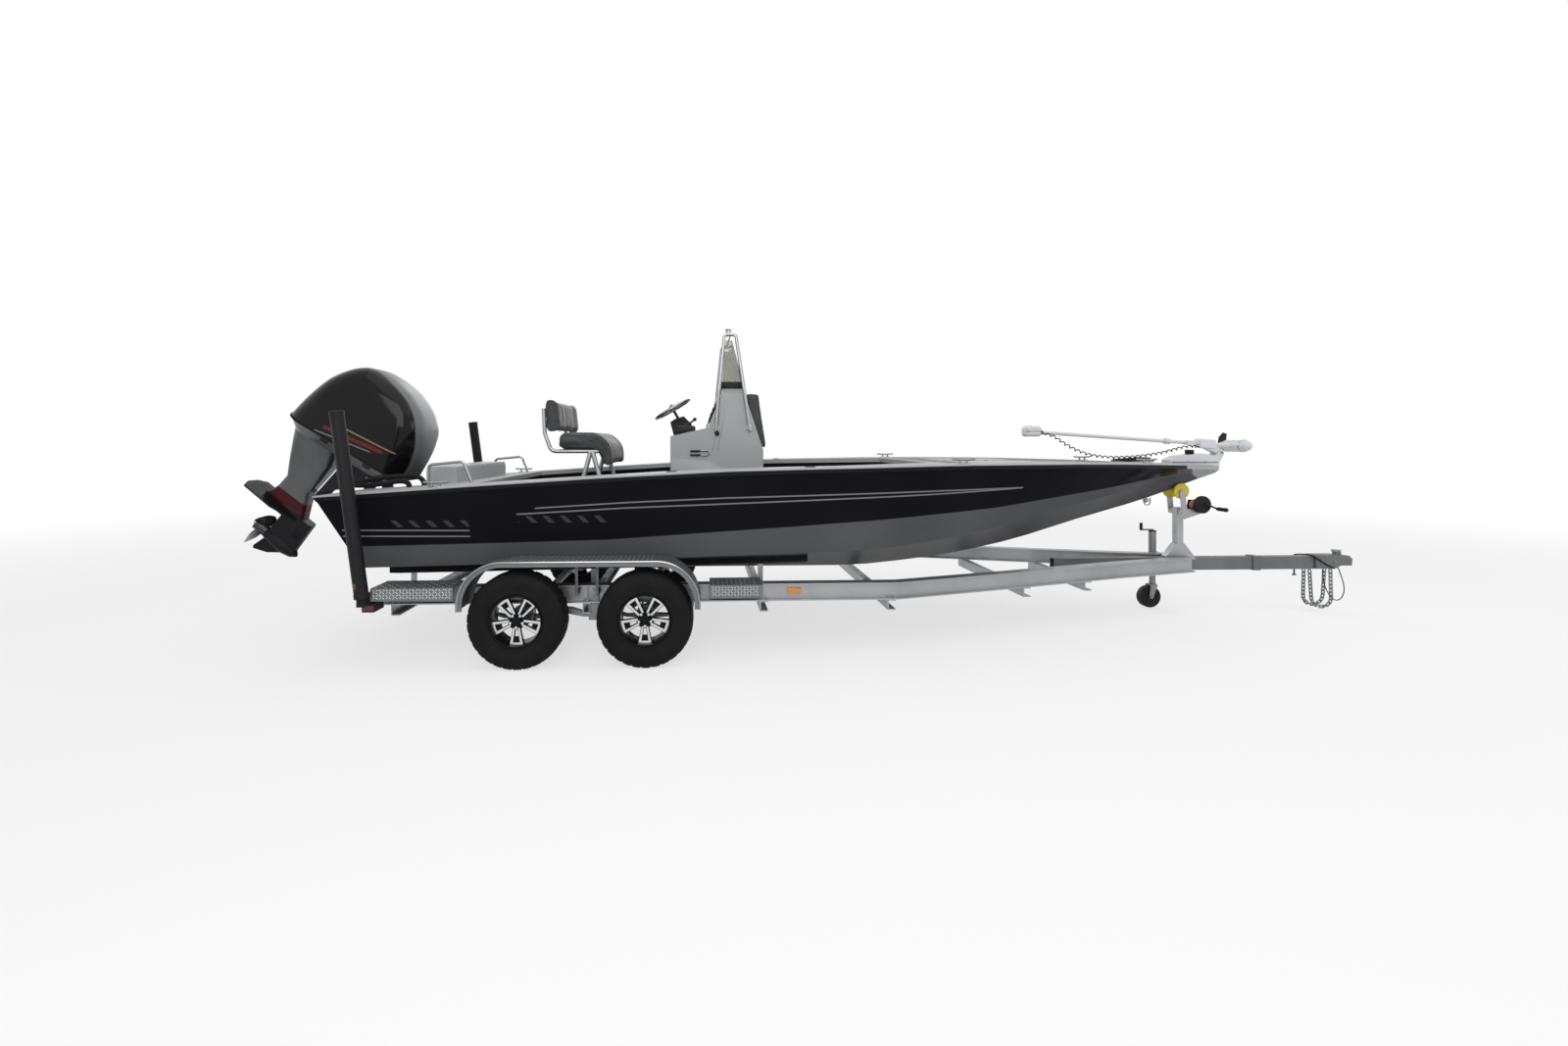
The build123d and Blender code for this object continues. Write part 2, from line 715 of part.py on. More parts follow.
def make_clamps():
    """Clamp brackets with the tilt tube."""
    x, z = TILT_AXIS
    plate = side_plate(
        ((x - 40, z - 30), (x - 26, z + 28), (x, z + 40), (x + 28, z + 26), (x + 40, z - 10),
         (x + 52, z - 90), (CLAMP_FACE, z - 150), (CLAMP_FACE, z - 560), (x - 10, z - 560),
         (x - 40, z - 300)), *CLAMP_Y,
    )
    tube = cross_rod(x, z, TILT_TUBE, -CLAMP_Y[1] - 20, CLAMP_Y[1] + 20)
    foot = cross_rod(CLAMP_FACE - 30, z - 500, 16, -CLAMP_Y[1], CLAMP_Y[1])
    return both_sides(plate) + tube + foot


def transom_x(z):
    """Place of the raked transom at a height."""
    share = (TRANSOM_TOP[1] - z) / (TRANSOM_TOP[1] - TRANSOM_FOOT[1])
    return TRANSOM_TOP[0] + share * (TRANSOM_FOOT[0] - TRANSOM_TOP[0])


def make_jack_plate():
    """Set-back plate between the transom and the clamp brackets."""
    low, high = JACK_PLATE_Z
    cheek = side_plate(
        ((CLAMP_FACE + 14, low + 60), (CLAMP_FACE + 14, high),
         (transom_x(high) - SEAT, high), (transom_x(low) - SEAT, low)), *JACK_PLATE_Y,
    )
    face = block((CLAMP_FACE + SEAT, CLAMP_FACE + 16), (-180, 180), (low + 60, high + 20))
    lead = side_plate(
        ((transom_x(high) - 16, high), (transom_x(high) - SEAT, high),
         (transom_x(low) - SEAT, low), (transom_x(low) - 16, low)), -150, 150,
    )
    return both_sides(cheek) + face + lead


# Bow motor

def shaft_z(x):
    """Height of the bow motor's shaft line at x."""
    share = (x - SHAFT_AFT[0]) / (POD_CENTRE[0] - SHAFT_AFT[0])
    return SHAFT_AFT[1] + share * (POD_CENTRE[1] - SHAFT_AFT[1])


def make_bow_mount():
    """Deck mount of the bow motor, with its pivot lugs and pin."""
    x, z = BOW_PIVOT
    aft, fore = BOW_MOUNT_X
    stations = [row[0] for row in HULL_STATIONS if aft < row[0] < fore]
    seat = tuple((place, deck_z(place) + SEAT) for place in [fore] + stations[::-1] + [aft])
    base = side_plate(
        ((aft, 1402), (3340, 1440), (3560, 1462), (3690, 1440), (fore, 1418)) + seat, -60, 60,
    )
    lug = side_plate(
        ((3600, 1410), (3690, 1440), (x - 14, z + 18), (x + 14, z + 18), (x + 20, z - 10),
         (x - 10, 1392), (3600, 1392)), 33, 47,
    )
    pin = cross_rod(x, z, PIVOT_PIN, -50, 50)
    return base + both_sides(lug) + pin


def make_foot_pedal():
    """Foot pedal of the bow motor on the deck."""
    low = deck_z(2930) + SEAT
    plate = side_plate(
        ((2930, low), (2930, low + 14), (3180, low + 34), (3235, low + 12), (3235, low)), 120, 290,
    )
    return plate


def make_bow_shaft():
    """Shaft of the bow motor with its housing, collar and pivot lug."""
    x, z = BOW_PIVOT
    shaft = rod((SHAFT_AFT[0], 0, SHAFT_AFT[1]), (POD_CENTRE[0], 0, POD_CENTRE[1]), SHAFT_RADIUS)
    slope = -degrees(atan2(POD_CENTRE[1] - SHAFT_AFT[1], POD_CENTRE[0] - SHAFT_AFT[0]))
    housing = Pos(3628, 0, shaft_z(3628)) * (Rot(0, slope, 0) * Box(150, 88, 84))
    housing = fillet(housing.edges(), 12)
    lug = side_plate(
        ((3600, shaft_z(3600)), (3700, shaft_z(3700)), (x + 16, z + 14), (x + 16, z - 12),
         (x - 14, z - 16), (3620, shaft_z(3620) - 42)), -30, 30,
    )
    collar = Pos(3265, 0, shaft_z(3265)) * (Rot(0, slope + 90, 0) * Cylinder(27, 42))
    rest = Pos(3480, 0, shaft_z(3480)) * (Rot(0, slope, 0) * Box(80, 56, 38))
    body = shaft + housing + lug + collar + rest
    return body - cross_rod(x, z, PIVOT_PIN + RUN, -60, 60)


def make_bow_head():
    """Control head at the aft end of the shaft."""
    head = Pos(SHAFT_AFT[0] - 60, 0, SHAFT_AFT[1] + 8) * Box(140, 120, 96)
    head = fillet(head.edges(), 26)
    bore = rod(
        (SHAFT_AFT[0] - SEAT, 0, SHAFT_AFT[1]), (SHAFT_AFT[0] + 80, 0, SHAFT_AFT[1] - 5),
        SHAFT_RADIUS + SEAT,
    )
    return head - bore


def make_bow_pod():
    """Motor pod of the bow motor, lying across the shaft."""
    half = POD_LENGTH / 2
    profile = Polyline(
        (0, -half), (20, -half + 4), (40, -half + 26), (POD_RADIUS, -half + 76),
        (POD_RADIUS, half - 70), (36, half - 6), (20, half), (0, half), close=True,
    )
    pod = revolve(Plane.XY * make_face(profile), Axis.Y)
    pod = Pos(POD_CENTRE[0], 0, POD_CENTRE[1]) * pod
    stub = rod((POD_CENTRE[0], half - 2, POD_CENTRE[1]), (POD_CENTRE[0], half + 50, POD_CENTRE[1]), 8)
    fin = side_plate(
        ((POD_CENTRE[0] + 40, POD_CENTRE[1] - 20), (POD_CENTRE[0] + 96, POD_CENTRE[1] - 18),
         (POD_CENTRE[0] + 96, POD_CENTRE[1]), (POD_CENTRE[0] + 40, POD_CENTRE[1] + 20)), -6, 6,
    )
    past = 4
    seat = rod(
        (3800, 0, shaft_z(3800)), (POD_CENTRE[0] + past, 0, shaft_z(POD_CENTRE[0] + past)),
        SHAFT_RADIUS + SEAT,
    )
    return pod + stub + fin - seat


def make_bow_prop():
    """Two-bladed propeller behind the pod."""
    prop = Cylinder(28, 38)
    for index in range(2):
        prop = prop + Rot(0, 0, index * 180 + 65) * (Rot(0, 90, 0) * blade(BOW_BLADE_SECTIONS))
    prop = prop - Cylinder(8 + RUN, 100)
    return Pos(POD_CENTRE[0], POD_LENGTH / 2 + PROP_GAP + 19, POD_CENTRE[1]) * (Rot(90, 0, 0) * prop)


def make_curly_cord():
    """Outer form of the curly cord from the head to the housing."""
    points = (
        (2070.4, -36, 1640), (2160, -36, 1640), (2320, -50, 1520), (2500, -58, 1446),
        (2690, -58, 1424), (2880, -54, 1428), (3070, -46, 1446), (3250, -36, 1478),
        (3440, -24, 1531.4), (3550.8, -24, 1524),
    )
    return pipe(points, CURLY_RADIUS, (90, 200, 300, 500, 800, 700, 600, 110))


# Trailer

def rail_outline(half):
    """Plan outline of one rail with a half width."""
    outer = [(x, y + half) for x, y in RAIL_LINE]
    inner = [(x, y - half) for x, y in reversed(RAIL_LINE)]
    return outer + inner


def make_rails():
    """Two I-beam side rails."""
    flange = 9
    top = RAIL_BOTTOM + RAIL_HEIGHT
    beam = plan_plate(rail_outline(RAIL_WEB / 2), RAIL_BOTTOM, top)
    beam = beam + plan_plate(rail_outline(RAIL_FLANGE / 2), RAIL_BOTTOM, RAIL_BOTTOM + flange)
    beam = beam + plan_plate(rail_outline(RAIL_FLANGE / 2), top - flange, top)
    return apart_on_both_sides(beam)


def rail_y(x):
    """Centreline of a rail at x."""
    return level(RAIL_LINE, x, 1)


def make_cross_members():
    """Channels slung under the rails."""
    parts = []
    for x in CROSS_X:
        half = rail_y(x) + RAIL_FLANGE / 2
        z = (RAIL_BOTTOM - SEAT - CROSS_HEIGHT, RAIL_BOTTOM - SEAT)
        beam = block((x - CROSS_WIDTH / 2, x + CROSS_WIDTH / 2), (-half, half), z)
        hollow = block(
            (x - CROSS_WIDTH / 2 + 8, x + CROSS_WIDTH), (-half - 1, half + 1), (z[0] + 8, z[1] - 8),
        )
        parts.append(beam - hollow + bunk_stems(x, z[1]))
    return Compound(children=parts)


def bunk_stems(x, low):
    """Stems from one cross member up to the bunks, where it lies under them."""
    if x > BUNK_X[1]:
        return []
    reach = 6
    top = bottom_z(x, BUNK_Y - reach) - BUNK_THICK - 2 * SEAT - 2
    stem = block((x - 20, x + 20), (BUNK_Y - reach, BUNK_Y + reach), (low - 4, top))
    return both_sides(stem)


def make_tongue():
    """Tongue tube between the rails, with its clamp sleeve."""
    tube = block(TONGUE_X, (-TONGUE_HALF, TONGUE_HALF), TONGUE_Z)
    bore = block(
        (TONGUE_X[0] - 1, TONGUE_X[1] + 1), (-TONGUE_HALF + 6, TONGUE_HALF - 6),
        (TONGUE_Z[0] + 6, TONGUE_Z[1] - 6),
    )
    half, (low, high) = TONGUE_HALF + SLEEVE_WALL, TONGUE_Z
    sleeve = block(SLEEVE_X, (-half, half), (low - SLEEVE_WALL, high + SLEEVE_WALL))
    return tube + sleeve - bore


def bottom_z(x, y):
    """Height of the hull's bottom at a place inside the chine."""
    flat = level(HULL_STATIONS, x, 2) * CHINE_SHARE
    chine = level(HULL_STATIONS, x, 3)
    keel = keel_z(x)
    rise = (chine - (chine - keel) * CHINE_STEP) - keel
    return keel + rise * y / flat


def make_bunks():
    """Carpeted bunks that follow the hull's bottom."""
    between = [row[0] for row in HULL_STATIONS if BUNK_X[0] < row[0] < BUNK_X[1]]
    places = [BUNK_X[0]] + between + [BUNK_X[1]]
    low, high = BUNK_Y - BUNK_HALF, BUNK_Y + BUNK_HALF
    faces = []
    for x in places:
        inner, outer = bottom_z(x, low) - SEAT, bottom_z(x, high) - SEAT
        outline = Polyline(
            (low, inner - BUNK_THICK), (high, outer - BUNK_THICK), (high, outer), (low, inner),
            close=True,
        )
        faces.append(Pos(x, 0, 0) * (Plane.YZ * make_face(outline)))
    return apart_on_both_sides(loft(faces, ruled=True))


def make_axles():
    """Axle tubes with their spindles."""
    parts = []
    for x in WHEEL_X:
        tube = cross_rod(x, TYRE_RADIUS, AXLE_TUBE, -1040, 1040)
        reach = WHEEL_OUTER_Y - TYRE_HALF + HUB_FRONT - HUB_CAP - 2
        spindle = cross_rod(x, TYRE_RADIUS, SPINDLE, -reach, reach)
        parts.append(tube + spindle)
    return Compound(children=parts)


def make_springs():
    """Leaf springs under the axles, with hangers and equalisers."""
    parts = []
    for side in (-1, 1):
        y_low, y_high = side * SPRING_Y - SPRING_WIDTH / 2, side * SPRING_Y + SPRING_WIDTH / 2
        for x in WHEEL_X:
            span = SPRING_HALF_SPAN
            foot = TYRE_RADIUS - AXLE_TUBE - SEAT
            leaf = side_plate(
                ((x - span, EYE_Z - 8), (x - span * 0.55, foot - 22), (x - 60, foot - 30),
                 (x + 60, foot - 30), (x + span * 0.55, foot - 22), (x + span, EYE_Z - 8),
                 (x + span, EYE_Z + 4), (x + span * 0.5, foot - 6), (x + 50, foot),
                 (x - 50, foot), (x - span * 0.5, foot - 6), (x - span, EYE_Z + 4)),
                y_low, y_high,
            )
            for eye in (x - span, x + span):
                leaf = leaf + cross_rod(eye, EYE_Z, 16, y_low, y_high)
                leaf = leaf + cross_rod(eye, EYE_Z, SPRING_PIN, y_low - 11, y_high + 11)
            parts.append(leaf)
    return parts


def make_hangers():
    """Spring hangers under the rails and the equalisers between the springs."""
    parts = []
    reach = (WHEEL_X[1] - WHEEL_X[0]) / 2 - SPRING_HALF_SPAN
    middle = (WHEEL_X[0] + WHEEL_X[1]) / 2
    ends = (WHEEL_X[0] - SPRING_HALF_SPAN, WHEEL_X[1] + SPRING_HALF_SPAN)
    hole = SPRING_PIN + SEAT
    saddle = RAIL_BOTTOM - CROSS_HEIGHT - 2 * SEAT
    for side in (-1, 1):
        for face in (-1, 1):
            low = side * SPRING_Y + face * (SPRING_WIDTH / 2 + 4) - 3
            for x in ends:
                cheek = side_plate(
                    ((x - 26, EYE_Z - 18), (x + 26, EYE_Z - 18), (x + 40, RAIL_BOTTOM - SEAT),
                     (x - 40, RAIL_BOTTOM - SEAT)), low, low + 6,
                )
                parts.append(cheek - cross_rod(x, EYE_Z, hole, low - 1, low + 7))
            beam = side_plate(
                ((middle - reach - 20, EYE_Z - 17), (middle - 34, EYE_Z - 45), (middle + 34, EYE_Z - 45),
                 (middle + reach + 20, EYE_Z - 17), (middle + reach + 20, EYE_Z + 16),
                 (middle + reach - 16, EYE_Z + 16), (middle + 34, saddle), (middle - 34, saddle),
                 (middle - reach + 16, EYE_Z + 16), (middle - reach - 20, EYE_Z + 16)),
                low, low + 6,
            )
            for x in (middle - reach, middle + reach):
                beam = beam - cross_rod(x, EYE_Z, hole, low - 1, low + 7)
            parts.append(beam)
    return parts


def make_suspension():
    """Leaf springs, hangers and equalisers."""
    return Compound(children=make_springs() + make_hangers())


def fender_face(inset):
    """Side outline of a tandem fender, inside its skin by an inset."""
    low, high = FENDER_X[0] + inset, FENDER_X[1] - inset
    foot, top = FENDER_FOOT - inset, FENDER_TOP - inset
    over = FilletPolyline(
        (low, foot), (low + FENDER_RAKE, top), (high - FENDER_RAKE, top), (high, foot),
        radius=FENDER_BEND - inset,
    )
    return make_face(over + Line((high, foot), (low, foot)))


def fender_band(inset, y_low, y_high):
    """Band of a fender, as deep as an inset, between two places in Y."""
    ring = fender_face(0) - fender_face(inset)
    return extrude(Plane.XZ.offset(-y_low) * ring, -(y_high - y_low))


def make_fenders():
    """Tandem fenders with a lip at both edges and two struts to the rail."""
    y_low, y_high = FENDER_Y
    lip = FENDER_SKIN + 1
    fender = fender_band(FENDER_SKIN, y_low, y_high)
    fender = fender + fender_band(FENDER_LIP, y_high - lip, y_high)
    fender = fender + fender_band(FENDER_LIP, y_low, y_low + lip)
    web = RAIL_LINE[0][1] + RAIL_WEB / 2 + SEAT
    for x in (FENDER_X[0] + 8, FENDER_X[1] - 8):
        strut = block((x - 12, x + 12), (web, y_low + 4), (FENDER_FOOT + 10, FENDER_FOOT + 50))
        fender = fender + strut
    return apart_on_both_sides(fender)


def make_steps():
    """Tread plate steps on the rails, with a folded lip."""
    parts = []
    for side in (-1, 1):
        for x in STEP_X:
            y = sorted((side * STEP_Y[0], side * STEP_Y[1]))
            lip_y = sorted((side * STEP_Y[1], side * (STEP_Y[1] - 5)))
            foot_y = sorted((side * STEP_Y[0], side * (STEP_Y[0] + 5)))
            step = block(x, y, (STEP_Z - 5, STEP_Z))
            step = step + block(x, lip_y, (STEP_Z - STEP_LIP, STEP_Z))
            step = step + block(x, foot_y, (RAIL_BOTTOM + 20, STEP_Z))
            parts.append(step)
    return Compound(children=parts)


def make_guide_posts():
    """Guide posts in their sleeves on arms from the rails, with the tail lamps below."""
    foot, top = GUIDE_FOOT, GUIDE_TOP
    post = rod((foot[0], GUIDE_Y, foot[1]), (top[0], GUIDE_Y, top[1]), GUIDE_RADIUS)
    arm = block((foot[0] - 26, foot[0] + 26), (1000 + SEAT, GUIDE_Y + 20), (foot[1] - 60, foot[1] + 6))
    lamp = block((foot[0] - 40, foot[0] + 40), (1060, 1200), (foot[1] - 120, foot[1] - 58))
    return apart_on_both_sides(post + arm + lamp)


def make_winch_post():
    """Winch post with its foot gusset, roller arm and winch arm."""
    top = TONGUE_Z[1] + SEAT
    post = block((POST_X - 30, POST_X + 30), (-30, 30), (top, WINCH_POST_TOP))
    foot = side_plate(
        ((3240, top), (3240, top + 10), (3330, 640), (3410, 640), (3500, top + 10), (3500, top)),
        -34, 34,
    )
    bed = WINCH_Z - 36 - SEAT
    arm = side_plate(
        ((POST_X, WINCH_POST_TOP - 70), (POST_X, bed), (WINCH_X + 54, bed),
         (WINCH_X + 60, bed - 14), (WINCH_X, bed - 50), (POST_X + 30, WINCH_POST_TOP - 110)), -30, 30,
    )
    x, z = roller_centre()
    fork = side_plate(
        ((POST_X - 25, WINCH_POST_TOP - 60), (POST_X + 25, WINCH_POST_TOP - 40), (x + 22, z + 14),
         (x - 16, z + 16), (x - 26, z - 14)), ROLLER_HALF + 4, ROLLER_HALF + 12,
    )
    yoke = block(
        (POST_X - 25, POST_X + 25), (-ROLLER_HALF - 12, ROLLER_HALF + 12),
        (WINCH_POST_TOP - 60, WINCH_POST_TOP - 20),
    )
    pin = cross_rod(x, z, 8, -ROLLER_HALF - 14, ROLLER_HALF + 14)
    return post + foot + arm + both_sides(fork) + yoke + pin


def roller_centre():
    """Centre of the bow roller, a seat's gap below the keel line."""
    run = 10
    slope = atan2(keel_z(ROLLER_X + run) - keel_z(ROLLER_X), run)
    off = ROLLER_GROOVE + SEAT
    return ROLLER_X + off * sin(slope), keel_z(ROLLER_X) - off * cos(slope)


def make_bow_roller():
    """Grooved roller that the bow rests in."""
    x, z = roller_centre()
    half = ROLLER_HALF
    profile = Polyline(
        (8 + SEAT, -half), (ROLLER_END, -half), (ROLLER_END, -half + 16), (ROLLER_GROOVE, 0),
        (ROLLER_END, half - 16), (ROLLER_END, half), (8 + SEAT, half), close=True,
    )
    roller = revolve(Plane.XY * make_face(profile), Axis.Y)
    return Pos(x, 0, z) * roller


def make_winch():
    """Winch: two cheeks, drum, gear cover and crank."""
    cheek = side_plate(
        ((WINCH_X - 60, WINCH_Z - 30), (WINCH_X - 46, WINCH_Z + 44), (WINCH_X + 30, WINCH_Z + 44),
         (WINCH_X + 54, WINCH_Z), (WINCH_X + 54, WINCH_Z - 30)), 38, 43,
    )
    drum = cross_rod(WINCH_X, WINCH_Z, WINCH_DRUM, -43, 43)
    floor = block((WINCH_X - 60, WINCH_X + 54), (-43, 43), (WINCH_Z - 36, WINCH_Z - 29))
    crank = cross_rod(WINCH_X + 24, WINCH_Z + 14, 9, -95, -40)
    crank = crank + rod((WINCH_X + 24, -88, WINCH_Z + 14), (WINCH_X + 130, -88, WINCH_Z - 30), 8)
    crank = crank + cross_rod(WINCH_X + 130, WINCH_Z - 30, 14, -190, -82)
    return both_sides(cheek) + drum + floor + crank


def make_jack_sleeve():
    """Jack sleeve on its bracket, with the top crank."""
    sleeve = rod((JACK_X, JACK_Y, JACK_SLEEVE_FOOT), (JACK_X, JACK_Y, JACK_TOP), JACK_SLEEVE)
    bore = rod((JACK_X, JACK_Y, JACK_SLEEVE_FOOT - 1), (JACK_X, JACK_Y, JACK_TOP - 12), JACK_TUBE + RUN)
    aft, fore = JACK_X - 40, JACK_X + 40
    edge = RAIL_FLANGE / 2 + SEAT
    bracket = plan_plate(
        ((aft, rail_y(aft) + edge), (fore, rail_y(fore) + edge), (fore, JACK_Y), (aft, JACK_Y)),
        RAIL_BOTTOM, RAIL_BOTTOM + RAIL_HEIGHT,
    )
    handle = rod((JACK_X, JACK_Y, JACK_TOP - 5), (JACK_X, JACK_Y, JACK_TOP + 20), 10)
    handle = handle + rod((JACK_X, JACK_Y, JACK_TOP + 14), (JACK_X - 110, JACK_Y, JACK_TOP + 14), 8)
    handle = handle + rod((JACK_X - 110, JACK_Y, JACK_TOP + 6), (JACK_X - 110, JACK_Y, JACK_TOP + 80), 12)
    return sleeve + bracket + handle - bore


def make_jack_leg():
    """Sliding inner tube of the jack, with the caster's pin."""
    leg = rod((JACK_X, JACK_Y, JACK_LEG_FOOT + 20), (JACK_X, JACK_Y, JACK_TOP - 260), JACK_TUBE)
    pin = rod((JACK_X, JACK_Y, JACK_LEG_FOOT + 2), (JACK_X, JACK_Y, JACK_LEG_FOOT + 22), 14)
    return leg + pin


def make_jack_fork():
    """Caster fork under the jack leg, with the wheel's axle."""
    top = rod((JACK_X, JACK_Y, JACK_LEG_FOOT + 1), (JACK_X, JACK_Y, JACK_LEG_FOOT + 19), 30)
    top = top - rod((JACK_X, JACK_Y, JACK_LEG_FOOT + 1.9), (JACK_X, JACK_Y, JACK_LEG_FOOT + 30), 14 + RUN)
    bridge = block(
        (JACK_X - 40, JACK_X + 28), (JACK_Y - 38, JACK_Y + 38), (JACK_LEG_FOOT - 1, JACK_LEG_FOOT + 5),
    )
    bridge = bridge - rod((JACK_X, JACK_Y, JACK_LEG_FOOT + 1.9), (JACK_X, JACK_Y, JACK_LEG_FOOT + 9), 14 + RUN)
    fork = top + bridge
    axle_x = JACK_X - JACK_TRAIL
    for face in (-1, 1):
        low = JACK_Y + face * 35 - 3
        cheek = side_plate(
            ((JACK_X - 40, JACK_LEG_FOOT + 5), (JACK_X + 28, JACK_LEG_FOOT + 5),
             (axle_x + 18, JACK_WHEEL - 12), (axle_x - 18, JACK_WHEEL - 12)), low, low + 6,
        )
        fork = fork + cheek
    return fork + cross_rod(axle_x, JACK_WHEEL, 8, JACK_Y - 42, JACK_Y + 42)


def make_jack_wheel():
    """Solid wheel of the jack, with five holes."""
    wheel = Cylinder(JACK_WHEEL, 50) - Cylinder(8 + RUN, 60)
    for index in range(5):
        turn = Rot(0, 0, index * 72)
        wheel = wheel - turn * (Pos(52, 0, 0) * Cylinder(15, 60))
    return Pos(JACK_X - JACK_TRAIL, JACK_Y, JACK_WHEEL) * (Rot(90, 0, 0) * wheel)


def make_coupler():
    """Ball coupler on the tongue, with its latch."""
    low, high = COUPLER_X
    body = side_plate(
        ((low, TONGUE_Z[0] + 10), (low, TONGUE_Z[1] + 12), (high - 150, TONGUE_Z[1] + 12),
         (high - 30, 520), (high, 490), (high - 6, 430), (high - 110, 430), (high - 170, 400)),
        -52, 52,
    )
    cavity = block(
        (low - 1, TONGUE_X[1] + SEAT), (-TONGUE_HALF - SEAT, TONGUE_HALF + SEAT),
        (TONGUE_Z[0] - 20, TONGUE_Z[1] + SEAT),
    )
    socket = Pos(high - 60, 0, BALL_Z) * Sphere(BALL_RADIUS)
    mouth = Pos(high - 60, 0, BALL_Z - 60) * Cylinder(BALL_RADIUS, 60, align=MIN_Z)
    latch = block((high - 130, high - 70), (-14, 14), (515, 556))
    return body + latch - cavity - socket - mouth


def link_face(grow):
    """Outline of a chain link's inside, grown by the wire."""
    x, y = LINK_LENGTH / 2 + grow, LINK_WIDTH / 2 + grow
    cut = LINK_CORNER + grow / 2
    half = ((x, -y + cut), (x, y - cut), (x - cut, y))
    other = tuple((-u, v) for u, v in reversed(half))
    low = ((-x + cut, -y), (x - cut, -y))
    return make_face(Polyline(*half, *other, *low, close=True))


def make_link():
    """One chain link, lying flat with its length along X."""
    ring = link_face(CHAIN_WIRE) - link_face(0)
    return Pos(0, 0, -CHAIN_WIRE / 2) * extrude(ring, CHAIN_WIRE)


def hang_links(path):
    """Chain along a path: each link through the next, turned a quarter."""
    inset = CHAIN_WIRE + 2 * LINK_SLACK
    run = path.length - 2 * inset
    count = ceil(run / (LINK_LENGTH - LINK_SLACK))
    joints = [path.position_at((inset + run * i / count) / path.length) for i in range(count + 1)]
    link, links = make_link(), []
    for index, (start, end) in enumerate(zip(joints, joints[1:])):
        along = (end - start).normalized()
        flat = along.cross(Vector(0, 1, 0)).normalized()
        normal = flat if index % 2 == 0 else flat.cross(along)
        links.append(Plane(origin=(start + end) / 2, x_dir=along, z_dir=normal) * link)
    return links


def make_chains():
    """Two safety chains hanging in loops under the tongue."""
    links = []
    for side in (-1, 1):
        hang = FilletPolyline(
            (4600, side * 28, TONGUE_Z[0] - 2 * SEAT), (4606, side * 44, CHAIN_FOOT),
            (4794, side * 44, CHAIN_FOOT), (4800, side * 28, TONGUE_Z[0]), radius=86,
        )
        links = links + hang_links(hang)
    return Compound(children=links)


def make_breakaway_cable():
    """Thin cable that hangs from the coupler in one loop."""
    points = (
        (4868, -30, 421), (4902, -46, 300), (4906, -60, 205), (4864, -70, 128),
        (4796, -72, 112), (4736, -60, 190), (4726, -30, 300), (4726, -30, TONGUE_Z[0] - SEAT),
    )
    return pipe(points, 4, (60, 45, 35, 35, 45, 40))


def rim_window(foot, half_foot, turn):
    """Window of a rim between two spokes, or in the fork of one."""
    edge = (RIM_OPEN * cos(radians(turn)), RIM_OPEN * sin(radians(turn)))
    other = (edge[0], -edge[1])
    sides = Polyline(other, (foot, -half_foot), (foot, half_foot), edge)
    return extrude(make_face(sides + ThreePointArc(edge, (RIM_OPEN, 0), other)), 80)


def make_wheel_rim(x, side):
    """Rim with five forked spokes and its hub, on the spindle."""
    barrel = revolve(
        Plane.XZ * make_face(Polyline(
            (TYRE_BORE - SEAT, -TYRE_HALF + 18), (TYRE_BORE - SEAT, TYRE_HALF - 14),
            (TYRE_BORE - 10, TYRE_HALF - 14), (TYRE_BORE - 10, -TYRE_HALF + 18), close=True,
        )), Axis.Z,
    )
    disc = Pos(0, 0, 46) * Cylinder(TYRE_BORE - 5, 14, align=MIN_Z)
    step = 360 / RIM_SPOKES
    for index in range(RIM_SPOKES):
        spoke = RIM_TURN + index * step
        disc = disc - Pos(0, 0, 20) * Rot(0, 0, spoke + step / 2) * rim_window(64, 12, 21)
        disc = disc - Pos(0, 0, 20) * Rot(0, 0, spoke) * rim_window(96, 4, 7)
    hub = Pos(0, 0, -HUB_BACK) * Cylinder(HUB_RADIUS, HUB_BACK + HUB_FRONT, align=MIN_Z)
    depth = HUB_BACK + HUB_FRONT - HUB_CAP
    bore = Pos(0, 0, -HUB_BACK - 1) * Cylinder(SPINDLE + RUN, depth + 1, align=MIN_Z)
    rim = barrel + disc + hub - bore
    centre = side * (WHEEL_OUTER_Y - TYRE_HALF)
    facing = Plane(origin=(x, centre, TYRE_RADIUS), x_dir=(1, 0, 0), z_dir=(0, side, 0))
    return facing * rim


def make_tyre(x, side):
    """Tyre as a solid ring with rounded shoulders."""
    half = TYRE_HALF
    profile = Polyline(
        (TYRE_BORE, -half + 24), (TYRE_BORE + 22, -half + 8), (262, -half), (308, -half + 8),
        (330, -half + 24), (TYRE_RADIUS, -half + 46), (TYRE_RADIUS, half - 46),
        (330, half - 24), (308, half - 8), (262, half), (TYRE_BORE + 22, half - 8),
        (TYRE_BORE, half - 24), close=True,
    )
    tyre = revolve(Plane.XZ * make_face(profile), Axis.Z)
    centre = side * (WHEEL_OUTER_Y - half)
    facing = Plane(origin=(x, centre, TYRE_RADIUS), x_dir=(1, 0, 0), z_dir=(0, side, 0))
    return facing * tyre


